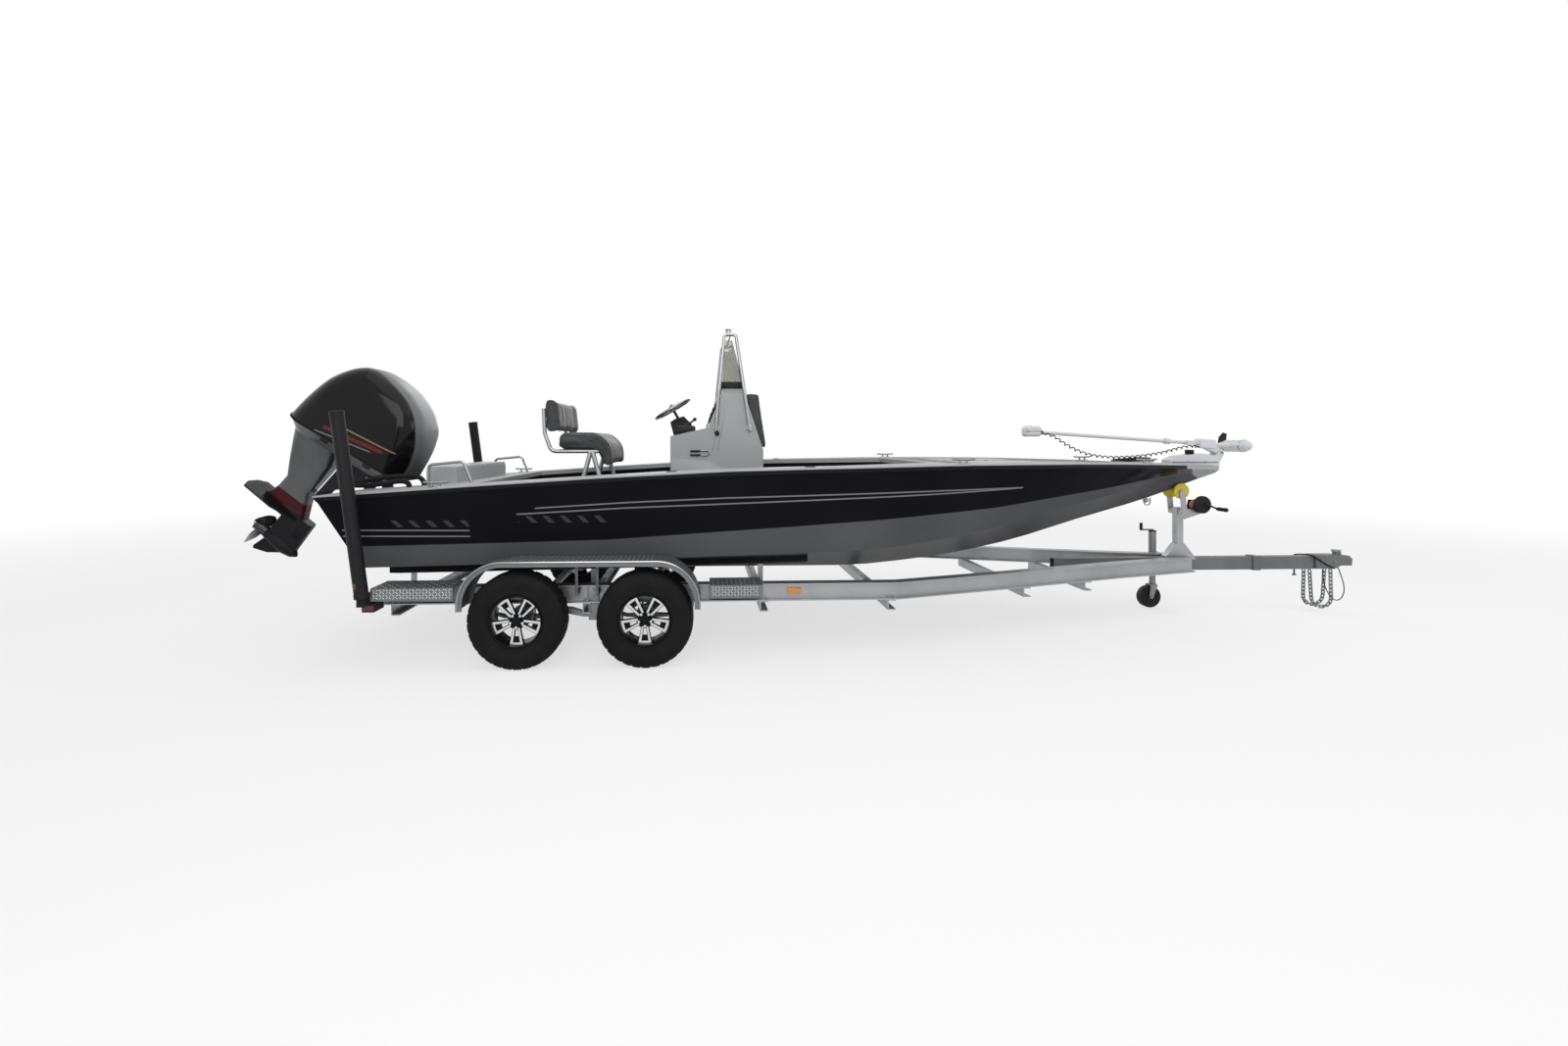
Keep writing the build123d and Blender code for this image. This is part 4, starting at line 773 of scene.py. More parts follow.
def rounded(corners: Sequence[tuple[float, ...]], radius: float, steps: int) -> list[tuple[float, ...]]:
    """Open route through corners, with each inner corner turned into an arc.

    Args:
        corners: Corners in order.
        radius: Radius of the arcs.
        steps: Steps of each arc.

    Returns:
        Points of the route.
    """
    route = [tuple(corners[0])]
    for before, here, after in zip(corners, corners[1:], corners[2:]):
        spot = Vector(here)
        back, on = (Vector(before) - spot).normalized(), (Vector(after) - spot).normalized()
        half = back.angle(on) / 2
        centre = spot + (back + on).normalized() * radius / math.sin(half)
        reach = radius / math.tan(half)
        first, last = spot + back * reach - centre, spot + on * reach - centre
        turn = math.pi - 2 * half
        for step in range(steps + 1):
            share = step / steps
            arm = (first * math.sin((1 - share) * turn) + last * math.sin(share * turn)) / math.sin(turn)
            route.append(tuple(centre + arm))
    return route + [tuple(corners[-1])]


def wound(points: Route, turn: float, pitch: float, steps: int = 12) -> list[Triple]:
    """Points of a helix wound round the smooth line of a route.

    Args:
        points: Control points of the route.
        turn: Radius of the helix.
        pitch: Length of one turn along the route.
        steps: Points of each turn.

    Returns:
        Control points of the wound cord, which starts and ends on the line.
    """
    bare = route_curve("bare_line", points, 0.0, 24, 4)
    line = after_modifiers(bare)
    spots = [vertex.co.copy() for vertex in line.vertices]
    data = bare.data
    bpy.data.objects.remove(bare)
    bpy.data.curves.remove(data)
    bpy.data.meshes.remove(line)
    reach = [0.0]
    for before, after in zip(spots, spots[1:]):
        reach.append(reach[-1] + (after - before).length)
    total, made, index = reach[-1], [], 0
    count = int(total / pitch) * steps
    side = Vector((0, 1, 0))
    for number in range(count + 1):
        at = total * number / count
        while index < len(spots) - 2 and reach[index + 1] < at:
            index += 1
        run = spots[index + 1] - spots[index]
        here = spots[index] + run * ((at - reach[index]) / run.length)
        along = run.normalized()
        out = (side - along * side.dot(along)).normalized()
        up = along.cross(out)
        angle = math.tau * number / steps
        wide = turn * min(1.0, at / pitch, (total - at) / pitch)
        made.append(tuple(here + (out * math.cos(angle) + up * math.sin(angle)) * wide))
    return made


# Lamps: name, place, aim, size, power
LAMPS = (
    ("lamp_top", (0.5, -1.0, 7.5), (0.3, 0.0, 0.6), 9.0, 210),
    ("lamp_near", (-1.5, -9.0, 5.2), (0.0, 0.0, 0.8), 6.0, 340),
    ("lamp_bow", (9.0, -3.0, 4.5), (2.0, 0.0, 0.9), 4.0, 110),
    ("lamp_far", (-2.0, 8.5, 5.0), (0.0, 0.0, 0.8), 6.0, 180),
)


@dataclass
class Studio:
    """Pale floor, soft lamps and the camera of the view.

    Attributes:
        camera_at: Place of the camera.
        yaw: Turn of the level camera.
        lens: Focal length in millimetres.
        shift: Shift of the picture.
        floor_half: Half the floor's width.
        floor_shade: Colour of the floor.
        fade: Distances between which the floor turns white.
        white_near: Share of white beside the boat.
        world_light: Strength of the world's light.
    """

    camera_at: Triple = (-0.98, -5.7, 1.574)
    yaw: float = math.radians(-2.5)
    lens: float = 14.74
    shift: tuple[float, float] = (0.034, -0.0522)
    floor_half: float = 60.0
    floor_shade: Triple = (0.86, 0.86, 0.86)
    fade: tuple[float, float] = (7.0, 15.0)
    white_near: float = 0.66
    world_light: float = 0.45

    def build(self) -> None:
        """Adds the floor, the lamps, the world and the camera."""
        self._floor()
        self._world()
        for name, place, aim, size, power in LAMPS:
            self._lamp(name, place, aim, size, power)
        self._camera()

    def _floor(self) -> None:
        """White floor that keeps the boat's shadow."""
        bm = bmesh.new()
        bmesh.ops.create_grid(bm, x_segments=1, y_segments=1, size=self.floor_half)
        mesh = bpy.data.meshes.new("floor")
        bm.to_mesh(mesh)
        bm.free()
        mesh.materials.append(self._pale())
        shown("floor", mesh)

    def _pale(self) -> bpy.types.Material:
        """Pale surface that keeps a shadow nearby and shows as white far away.

        Returns:
            The floor's material.
        """
        made = bpy.data.materials.new("floor_pale")
        made.use_nodes = True
        sketch = Sketch(made.node_tree)
        sketch.set_plain(Finish("floor_pale", self.floor_shade, rough=0.9, shine=0.1))
        away = sketch.node("ShaderNodeVectorMath", operation="LENGTH")
        sketch.feed(sketch.place(), away.inputs[0])
        near, far = self.fade
        share = sketch.between(away.outputs["Value"], self.white_near, 1.0, near, far)
        share = sketch.math("MULTIPLY", sketch.seen(), share)
        sketch.backdrop("ShaderNodeEmission", sketch.shader.outputs[0], share, "Material Output")
        return made

    def _world(self) -> None:
        """World that lights softly and shows as white."""
        world = bpy.data.worlds.new("studio")
        bpy.context.scene.world = world
        world.use_nodes = True
        sketch = Sketch(world.node_tree)
        back = sketch.tree.nodes["Background"]
        back.inputs["Color"].default_value = (1, 1, 1, 1)
        back.inputs["Strength"].default_value = self.world_light
        sketch.backdrop("ShaderNodeBackground", back.outputs[0], sketch.seen(), "World Output")

    def _lamp(self, name: str, place: Triple, aim: Triple, size: float, power: float) -> None:
        """Square soft lamp that looks at a point.

        Args:
            name: Name of the lamp.
            place: Where it stands.
            aim: Point that it looks at.
            size: Its width.
            power: Its strength in watts.
        """
        data = bpy.data.lights.new(name, "AREA")
        data.size = size
        data.energy = power
        lamp = shown(name, data)
        lamp.location = place
        lamp.rotation_euler = (Vector(aim) - Vector(place)).to_track_quat("-Z", "Y").to_euler()

    def _camera(self) -> None:
        """Level camera at the view's height and turn."""
        data = bpy.data.cameras.new("view")
        data.lens = self.lens
        data.sensor_width = 36.0
        data.shift_x, data.shift_y = self.shift
        data.clip_end = 200.0
        camera = shown("view", data)
        camera.location = self.camera_at
        camera.rotation_euler = (math.radians(90), 0, self.yaw)
        bpy.context.scene.camera = camera
        bpy.context.scene.view_settings.view_transform = "Standard"


@dataclass(frozen=True)
class Cord:
    """Free cord, hose or cable on the route of its node.

    Attributes:
        name: Name of the piece.
        node: CAD node that it stands for.
        slot: Material slot of the node; not used.
        body: Body that it rides on.
        route: Control points of its line.
        radius: Radius of the cord itself.
        length: Real length of the cord.
        lay: How it lies; not used.
        stiffness: How stiff it is; not used.
        coil: Radius of a curly cord's turns and their pitch.
        steps: Steps along a run of the curve and around it.
    """

    name: str
    node: str
    slot: str
    body: Body
    route: Route
    radius: float
    length: float
    lay: str
    stiffness: str
    coil: tuple[float, float] | None = None
    steps: tuple[int, int] = (12, 12)

    def build(self) -> None:
        line = wound(self.route, *self.coil) if self.coil else self.route
        made = route_curve(self.name, line, self.radius, *self.steps)
        made.data.use_fill_caps = True
        made.data.materials.append(RUBBER.material())
        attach(made, self.body.value)
        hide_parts(self.node)
        LOG.info("%s: %.2f m", self.name, self.length)


CORDS = (
    Cord("curly_cord_line", "curly_cord", "curly", Body.BOW_MOTOR,
         ((2.0704, -0.036, 1.64), (2.16, -0.036, 1.64), (2.32, -0.05, 1.52), (2.5, -0.058, 1.446),
          (2.69, -0.058, 1.424), (2.88, -0.054, 1.428), (3.07, -0.046, 1.446), (3.25, -0.036, 1.478),
          (3.44, -0.024, 1.5314), (3.5508, -0.024, 1.524)),
         0.0048, 2.45, "hanging", "medium", (0.0105, 0.05), (2, 8)),
    Cord("rigging_loop", "rigging_hose", "hose", Body.ROOT,
         ((-3.13, -0.64, 1.2336), (-3.13, -0.64, 1.305), (-3.33, -0.66, 1.305), (-3.59, -0.7, 1.27),
          (-3.61, -0.83, 1.245), (-3.38, -0.855, 1.25), (-3.175, -0.79, 1.29), (-3.175, -0.79, 1.2305)),
         0.019, 1.05, "loose", "stiff", None, (14, 16)),
    Cord("tether_cable", "breakaway_cable", "cable", Body.ROOT,
         ((4.868, -0.03, 0.421), (4.902, -0.046, 0.3), (4.906, -0.06, 0.205), (4.864, -0.07, 0.128),
          (4.796, -0.072, 0.112), (4.736, -0.06, 0.19), (4.726, -0.03, 0.3), (4.726, -0.03, 0.3997)),
         0.004, 0.66, "hanging", "medium"),
)


@dataclass(frozen=True)
class HullPaint(Finish):
    """Black topsides over a grey bottom with thin side lines and a painted reflection of the tread plates.

    Attributes:
        bottom: Colour below the paint line.
        line: Colour of the thin lines and of the painted reflection of the tread plates.
    """

    bottom: Triple = (0.092, 0.094, 0.098)
    line: Triple = (0.2, 0.203, 0.208)

    def dress(self, sketch: Sketch) -> None:
        """Paints the sides by height and length.

        Args:
            sketch: Node tree being drawn.
        """
        sketch.set_plain(self)
        place = sketch.place()
        along, _, height = sketch.axes(place)
        edge = sketch.curve(along, HULL_LINE)
        above = sketch.between(sketch.math("SUBTRACT", height, edge), 0, 1, -0.003, 0.003)
        cloud = sketch.noise(place, 1.7, detail=5.0)
        low = sketch.shades(cloud, self.bottom, 0.14)
        paint = sketch.mix(above, low, sketch.shades(cloud, self.colour, 0.1))
        lines_and_reflections: object = None
        for start, end, points, half in SIDE_LINES:
            centre = sketch.curve(along, points)
            off = sketch.math("ABSOLUTE", sketch.math("SUBTRACT", height, centre))
            near = sketch.between(off, 1.0, 0.0, half * 0.8, half * 1.2)
            near = sketch.math("MULTIPLY", near, sketch.band(along, start, end, 0.006))
            lines_and_reflections = near if lines_and_reflections is None else sketch.math("MAXIMUM", lines_and_reflections, near)
        # Painted reflection: faint leaning dashes above the fender and step tread plates stand in for their
        # reflection in the hull.
        for start, end, low_z, high_z, step in TREAD_REFLECTION_DASHES:
            lean = sketch.math("ADD", along, sketch.math("MULTIPLY", height, 0.9))
            turn = sketch.math("MODULO", sketch.math("ADD", lean, 20.0), step)
            tread_reflection = sketch.between(turn, 1.0, 0.0, step * 0.3, step * 0.36)
            tread_reflection = sketch.math("MULTIPLY", tread_reflection, sketch.band(along, start, end, 0.01))
            tread_reflection = sketch.math("MULTIPLY", tread_reflection, sketch.band(height, low_z, high_z, 0.002))
            tread_reflection = sketch.math("MULTIPLY", tread_reflection, 0.22)
            lines_and_reflections = sketch.math("MAXIMUM", lines_and_reflections, tread_reflection)
        paint = sketch.mix(lines_and_reflections, paint, self.line)
        nose = sketch.between(sketch.math("MULTIPLY_ADD", height, 2.67, along), 0, 1, 6.845, 6.857)
        sketch.link(sketch.mix(nose, paint, GEL_GREY.colour), "Base Color")
        sketch.link(sketch.between(above, 0.34, 0.13, 0, 1), "Roughness")
        sketch.relief(place, self)


HULL_LINE = (
    (-3.29, 0.833), (-1.66, 0.87), (-0.82, 0.925), (0.32, 0.996), (1.26, 1.065), (2.24, 1.174),
    (3.25, 1.297), (3.8, 1.372),
)
# Thin side lines: start, end, points of (along, height), half width
SIDE_LINES = (
    (-2.15, 1.46, ((-2.15, 1.105), (-1.51, 1.143), (-0.82, 1.172), (0.774, 1.209), (1.46, 1.221)), 0.005),
    (-2.28, 1.46, ((-2.28, 1.062), (-1.51, 1.104), (-0.82, 1.129), (0.32, 1.169), (0.78, 1.186),
                   (1.46, 1.219)), 0.005),
    (-3.5, -2.62, ((-3.5, 0.95), (-2.62, 0.945)), 0.005),
    (-3.5, -2.62, ((-3.5, 0.907), (-2.62, 0.902)), 0.005),
)
# Painted reflection of the tread plates in the glossy hull, as faint leaning dashes: start, end, lowest,
# highest, step
TREAD_REFLECTION_DASHES = ((-3.2, -2.62, 0.97, 1.02, 0.12), (-2.27, -1.65, 1.0, 1.05, 0.12))
HULL_PAINT = HullPaint("hull_paint", (0.009, 0.009, 0.0105), rough=0.13, shine=0.006, grain=Grain.PEEL,
                       grain_scale=30, grain_depth=0.0002)


# Edge of the deck: x, y, z
SHEER_ROWS = (
    (-3.66, 1.15, 1.195), (-2.18, 1.21, 1.297), (-0.78, 1.22, 1.372), (0.22, 1.185, 1.393),
    (1.02, 1.085, 1.406), (1.72, 0.935, 1.406), (2.42, 0.675, 1.396), (3.07, 0.385, 1.378),
    (3.52, 0.15, 1.364), (3.73, 0.026, 1.346),
)


def eased(rows: Sequence[Sequence[float]], parts: int) -> list[tuple[float, ...]]:
    """Rows with more rows between them, on smooth curves through them.

    Args:
        rows: Rows that start with their place along the boat.
        parts: Steps from one row to the next.

    Returns:
        The finer table.
    """
    slopes = []
    for column in range(1, len(rows[0])):
        runs = [(high[column] - low[column]) / (high[0] - low[0]) for low, high in zip(rows, rows[1:])]
        inner = [2 * a * b / (a + b) if a * b > 0 else 0 for a, b in zip(runs, runs[1:])]
        slopes.append([runs[0], *inner, runs[-1]])
    table = []
    for index, (low, high) in enumerate(zip(rows, rows[1:])):
        run = high[0] - low[0]
        for part in range(parts):
            t = part / parts
            row = [low[0] + t * run]
            for column, slope in enumerate(slopes, start=1):
                row.append((1 + 2 * t) * (1 - t) ** 2 * low[column] + t ** 2 * (3 - 2 * t) * high[column]
                           + t * (1 - t) * run * ((1 - t) * slope[index] - t * slope[index + 1]))
            table.append(tuple(row))
    return table + [tuple(rows[-1])]


SHEER = eased(SHEER_ROWS, 3)


@dataclass(frozen=True)
class DeckPaint(Finish):
    """Grey deck whose outer edge is black up to a thin grey line, except at the nose.

    Attributes:
        side: Colour of the outer edge.
    """

    side: Triple = (0.006, 0.006, 0.008)

    def dress(self, sketch: Sketch) -> None:
        """Paints the outer edge by its place below the deck's line.

        Args:
            sketch: Node tree being drawn.
        """
        sketch.set_plain(self)
        place = sketch.place()
        along, across, height = sketch.axes(place)
        top = sketch.curve(along, [(x, z) for x, _, z in SHEER[::2]])
        edge = sketch.curve(along, [(x, y) for x, y, _ in SHEER[::2]])
        low = sketch.between(sketch.math("SUBTRACT", top, height), 0, 1, 0.01, 0.013)
        off = sketch.math("SUBTRACT", sketch.math("ABSOLUTE", across), edge)
        out = sketch.between(off, 0, 1, -0.032, -0.028)
        aft = sketch.between(along, 1, 0, 3.19, 3.21)
        share = sketch.math("MULTIPLY", sketch.math("MULTIPLY", low, out), aft)
        cloud = sketch.noise(place, 2.3, detail=5.0)
        grey = sketch.shades(cloud, self.colour, self.uneven)
        sketch.link(sketch.mix(share, grey, self.side), "Base Color")
        sketch.link(sketch.between(sketch.noise(place, 11.0), 0.44, 0.56), "Roughness")
        sketch.relief(place, self)


DECK_PAINT = DeckPaint("deck_paint", GEL_GREY.colour, rough=0.5, shine=0.1, grain=Grain.PEEL,
                       uneven=0.05, grain_scale=60, grain_depth=0.0002)


def run_through(table: Sequence[tuple[float, ...]], x: float, column: int) -> float:
    """Value of one column of a table at a place along the boat.

    Args:
        table: Rows that start with their place.
        x: Place along the boat.
        column: Column to read.

    Returns:
        The value on the straight run between two rows.
    """
    for low, high in zip(table, table[1:]):
        if x <= high[0]:
            share = (x - low[0]) / (high[0] - low[0])
            return low[column] + share * (high[column] - low[column])
    return table[-1][column]


def deck_at(x: float, inboard: float) -> tuple[float, float, float]:
    """Point on the deck's top a distance inboard of its edge, to port."""
    return (x, run_through(SHEER, x, 1) - inboard, run_through(SHEER, x, 2))


@dataclass
class HullTrim:
    """Rub rail, cleats and tie eyes of the hull.

    Attributes:
        rail_radius: Radius of the rub rail.
        cleat_places: Place along and distance inside the edge of each cleat.
    """

    rail_radius: float = 0.006
    cleat_places: tuple[tuple[float, float], ...] = ((-2.85, 0.075), (0.95, 0.07), (2.75, 0.07))

    def build(self) -> None:
        """Builds all pieces of the trim."""
        self._rub_rail()
        self._cleats()
        self._eyes()

    def _rub_rail(self) -> None:
        """Half-round rail along the outer face of the deck moulding."""
        form = Form()
        half = [(math.sin(math.radians(a)), math.cos(math.radians(a))) for a in range(0, 181, 30)]
        rings = []
        for x, y, z in SHEER[:-1]:
            rings.append([(x, y + 0.011 + self.rail_radius * out, z - 0.006 + self.rail_radius * up)
                          for out, up in half])
        form.skin_over(rings)
        form.both("rub_rail", GEL_GREY)

    def _cleats(self) -> None:
        """Low cleats with two horns on the deck."""
        form = Form()
        for x, inboard in self.cleat_places:
            _, y, z = deck_at(x, inboard)
            form.box((x - 0.05, y - 0.016, z - 0.001), (x + 0.05, y + 0.016, z + 0.005), edge=0.003)
            for off in (-0.026, 0.026):
                form.drum((x + off, y, z + 0.004), (x + off, y, z + 0.026), 0.008, sides=12)
            form.pipe([(x - 0.085, y, z + 0.034), (x - 0.05, y, z + 0.031), (x, y, z + 0.029),
                       (x + 0.05, y, z + 0.031), (x + 0.085, y, z + 0.034)], 0.008)
        form.both("cleats", STAINLESS)

    def _eyes(self) -> None:
        """Bow eye below the stem and the transom eyes."""
        form = Form()
        form.drum((3.06, 0, 1.045), (3.075, 0, 1.02), 0.022, sides=20, edge=0.003)
        form.pipe([(3.045, 0, 1.045), (3.05, 0, 1.0), (3.085, 0, 0.985), (3.115, 0, 1.01),
                   (3.105, 0, 1.055)], 0.006)
        for y in (-0.85, 0.85):
            x = -3.6
            form.drum((x - 0.014, y, 1.02), (x + 0.012, y, 1.024), 0.026, sides=20, edge=0.002)
            form.pipe([(x - 0.012, y, 1.045), (x - 0.05, y, 1.043), (x - 0.06, y, 1.02),
                       (x - 0.05, y, 0.997), (x - 0.012, y, 0.997)], 0.006)
        form.piece("tie_eyes", STAINLESS)


@dataclass
class DeckGear:
    """Latches and rod holders on the deck."""

    def build(self) -> None:
        """Builds all pieces of the deck gear."""
        self._lid_fittings()
        self._rod_holders()

    def _lid_fittings(self) -> None:
        """Flush latch on each bow lid, riding with it."""
        for body, node in ((Body.LID_PORT, "bow_lid_port"), (Body.LID_STARBOARD, "bow_lid_starboard")):
            low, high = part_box(node)
            middle = (low + high) / 2
            inner = low.y if body is Body.LID_PORT else high.y
            toward = 1 if body is Body.LID_PORT else -1
            form = Form()
            x, y, top = middle.x, inner + toward * 0.07, high.z
            form.drum((x, y, top - 0.002), (x, y, top + 0.003), 0.036, sides=32, edge=0.002)
            form.box((x - 0.022, y - 0.007, top + 0.002), (x + 0.022, y + 0.007, top + 0.008), edge=0.003)
            form.piece(f"{node}_latch", STAINLESS, body)

    def _rod_holders(self) -> None:
        """Flush cups in the gunwales."""
        form = Form()
        for x in (-1.2, -0.2):
            _, y, z = deck_at(x, 0.13)
            form.lathe([(0.02, -0.002), (0.023, 0.004), (0.034, 0.006), (0.042, 0.002), (0.042, -0.002)],
                       (x, y, z), (0, 0, 1), steps=32)
            form.drum((x, y, z + 0.0005), (x, y, z + 0.0015), 0.021, sides=24)
        form.both("rod_holders", PLASTIC_BLACK)


@dataclass
class Console:
    """Helm face, dials, screen, switches, mouldings and the trim of the shield.

    Attributes:
        half: Half width of the console.
        face_foot: Foot of the tower's aft face.
        face_head: Head of the tower's aft face.
    """

    half: float = 0.42
    face_foot: Triple = (-0.94, 0, 1.683)
    face_head: Triple = (-0.82, 0, 1.973)

    def build(self) -> None:
        """Builds all pieces of the console."""
        self._helm_screen()
        self._dials()
        self._side_panels()
        self._shield_trim()
        self._throttle()
        self._wheel()
        self._lamp()

    def _helm_screen(self) -> None:
        """Flat screen on the tower's aft face, in a black frame."""
        low, high = Vector(self.face_foot), Vector(self.face_head)
        along = (high - low).normalized()
        turn = Matrix.Rotation(math.atan2(high.x - low.x, high.z - low.z), 3, "Y")
        middle = low + along * 0.165 + Vector((-0.008, 0, 0.003))
        form = Form()
        self._face_box(form, middle, turn, (0.02, 0.34, 0.215), 0.008)
        form.skin = 1
        self._face_box(form, middle + turn @ Vector((-0.0105, 0, 0)), turn, (0.004, 0.3, 0.172), 0.001)
        form.piece("helm_screen", (SATIN_BLACK, SCREEN))
        form = Form()
        for y in (-0.3, 0.3):
            self._face_box(form, middle + Vector((0, y, 0)), turn, (0.014, 0.12, 0.16), 0.004)
            for row in range(3):
                spot = middle + Vector((0, y, 0)) + turn @ Vector((-0.009, 0, -0.045 + row * 0.045))
                for off in (-0.028, 0.028):
                    self._face_box(form, spot + Vector((0, off, 0)), turn, (0.012, 0.03, 0.024), 0.003)
        form.piece("switch_panels", PLASTIC_BLACK)

    @staticmethod
    def _face_box(form: Form, middle: Vector, turn: Matrix, size: Triple, edge: float) -> None:
        """Box of a size that lies turned round its middle on the sloping face."""
        half = Vector(size) / 2
        form.box(middle - half, middle + half, edge=edge, turn=turn)

    def _dials(self) -> None:
        """Two round dials in bright rings beside the wheel."""
        form = Form()
        normal = Vector((-0.2206, 0, 0.9754))
        for y in (-0.26, 0.26):
            base = Vector((-1.12, y, 1.6423)) + normal * 0.001
            form.skin = 0
            form.lathe([(0.034, -0.001), (0.036, 0.006), (0.042, 0.008), (0.046, 0.003), (0.046, -0.001)],
                       base, normal, steps=40)
            form.skin = 1
            form.drum(base, base + normal * 0.003, 0.036, sides=40)
        form.piece("dials", (STAINLESS, SCREEN))

    def _side_panels(self) -> None:
        """Moulded step, ribs, latches and pulls on both sides of the console."""
        form = Form()
        y = self.half
        lower = [(-1.238, 0.81), (-1.238, 1.429), (-0.937, 1.412), (-0.66, 1.255), (-0.05, 1.215),
                 (-0.05, 0.81)]
        form.plate([(x, y - 0.001, z) for x, z in lower], (0, 0.013, 0), edge=0.005)
        for foot, head in (((-0.905, 1.5), (-0.8, 1.94)), ((-0.865, 1.5), (-0.775, 1.94))):
            form.plate([(foot[0], y - 0.001, foot[1]), (foot[0] + 0.012, y - 0.001, foot[1]),
                        (head[0] + 0.012, y - 0.001, head[1]), (head[0], y - 0.001, head[1])],
                       (0, 0.005, 0), edge=0.002)
        form.both("console_mouldings", GEL_GREY)
        form = Form()
        form.drum((-0.862, y + 0.006, 1.638), (-0.862, y + 0.014, 1.638), 0.02, sides=24, edge=0.002)
        form.box((-0.866, y + 0.013, 1.624), (-0.858, y + 0.02, 1.652), edge=0.002)
        for z in (1.46, 1.492):
            form.box((-1.082, y - 0.001, z - 0.008), (-0.998, y + 0.012, z + 0.008), edge=0.003)
        form.both("console_latches", SATIN_BLACK)
        form = Form()
        form.pipe(rounded([(-0.99, y + 0.01, 1.458), (-0.93, y + 0.01, 1.458), (-0.93, y + 0.01, 1.496),
                           (-0.99, y + 0.01, 1.496)], 0.018, 4), 0.006)
        form.both("console_pulls", STAINLESS)

    def _shield_trim(self) -> None:
        """Black gasket at the foot of the clear shield."""
        form = Form()
        low, wide = 2.012, 0.35
        form.box((-0.824, -wide - 0.01, low), (-0.812, wide + 0.01, 2.066), edge=0.004)
        form.box((-0.643, -wide - 0.01, low), (-0.628, wide + 0.01, 2.072), edge=0.005)
        for y in (-wide - 0.006, wide + 0.006):
            form.box((-0.822, y - 0.006, low), (-0.63, y + 0.006, 2.068), edge=0.004)
        for y in (-self.half + 0.035, self.half - 0.035):
            form.plate([(-0.944, y - 0.02, 1.69), (-0.944, y + 0.02, 1.69), (-0.826, y + 0.02, 1.972),
                        (-0.826, y - 0.02, 1.972)], (-0.008, 0, 0.003), edge=0.002)
        form.piece("shield_gasket", SATIN_BLACK)

    def _throttle(self) -> None:
        """Throttle box with its lever beside the wheel."""
        form = Form()
        form.box((-1.19, -0.4, 1.635), (-1.04, -0.335, 1.7), edge=0.012, segments=3)
        form.drum((-1.115, -0.334, 1.69), (-1.115, -0.322, 1.69), 0.03, sides=24, edge=0.004)
        form.pipe([(-1.115, -0.324, 1.69), (-1.09, -0.322, 1.72), (-1.06, -0.33, 1.745),
                   (-1.045, -0.345, 1.752)], 0.008)
        form.drum((-1.045, -0.375, 1.755), (-1.045, -0.315, 1.755), 0.015, sides=20, edge=0.006)
        form.piece("throttle", SATIN_BLACK)

    def _wheel(self) -> None:
        """Centre cap of the steering wheel."""
        lean = math.radians(60)
        up = Vector((-math.cos(lean), 0, math.sin(lean)))
        centre = Vector((-1.244, 0, 1.857))
        form = Form()
        form.lathe([(0.0, 0.034), (0.018, 0.033), (0.03, 0.026), (0.036, 0.016), (0.038, 0.0)],
                   centre, up, steps=36)
        form.piece("wheel_cap", SATIN_BLACK, Body.HELM)

    def _lamp(self) -> None:
        """Clear lens and black caps of the light on its pole."""
        form = Form()
        form.drum((-0.752, 0, 2.528), (-0.752, 0, 2.556), 0.0255, sides=28)
        form.piece("pole_lens", LENS_CLEAR)
        form = Form()
        form.drum((-0.752, 0, 2.512), (-0.752, 0, 2.528), 0.022, 0.027, sides=28)
        form.drum((-0.752, 0, 2.556), (-0.752, 0, 2.567), 0.027, 0.022, sides=28, edge=0.003)
        form.piece("pole_cap", SATIN_BLACK)


@dataclass(frozen=True)
class PanelVinyl(Finish):
    """Vinyl with lighter sewn panels across the boat.

    Attributes:
        light: Colour of the lighter panels.
        edges: Rows of (inner, outer) distance from the middle of each lighter panel.
    """

    light: Triple = (0.3, 0.305, 0.315)
    edges: tuple[tuple[float, float], ...] = ((0.13, 0.2), (0.24, 0.27))

    def dress(self, sketch: Sketch) -> None:
        """Paints the panels by their distance from the middle.

        Args:
            sketch: Node tree being drawn.
        """
        sketch.set_plain(self)
        place = sketch.place()
        _, across, _ = sketch.axes(place)
        off = sketch.math("ABSOLUTE", across)
        share: object = None
        for inner, outer in self.edges:
            band = sketch.band(off, inner, outer)
            share = band if share is None else sketch.math("MAXIMUM", share, band)
        cloud = sketch.noise(place, 9.0, detail=5.0)
        dark = sketch.shades(cloud, self.colour, 0.16)
        pale = sketch.shades(cloud, self.light, 0.1)
        sketch.link(sketch.mix(share, dark, pale), "Base Color")
        sketch.link(sketch.between(sketch.noise(place, 22.0), 0.42, 0.6), "Roughness")
        sketch.relief(place, self)


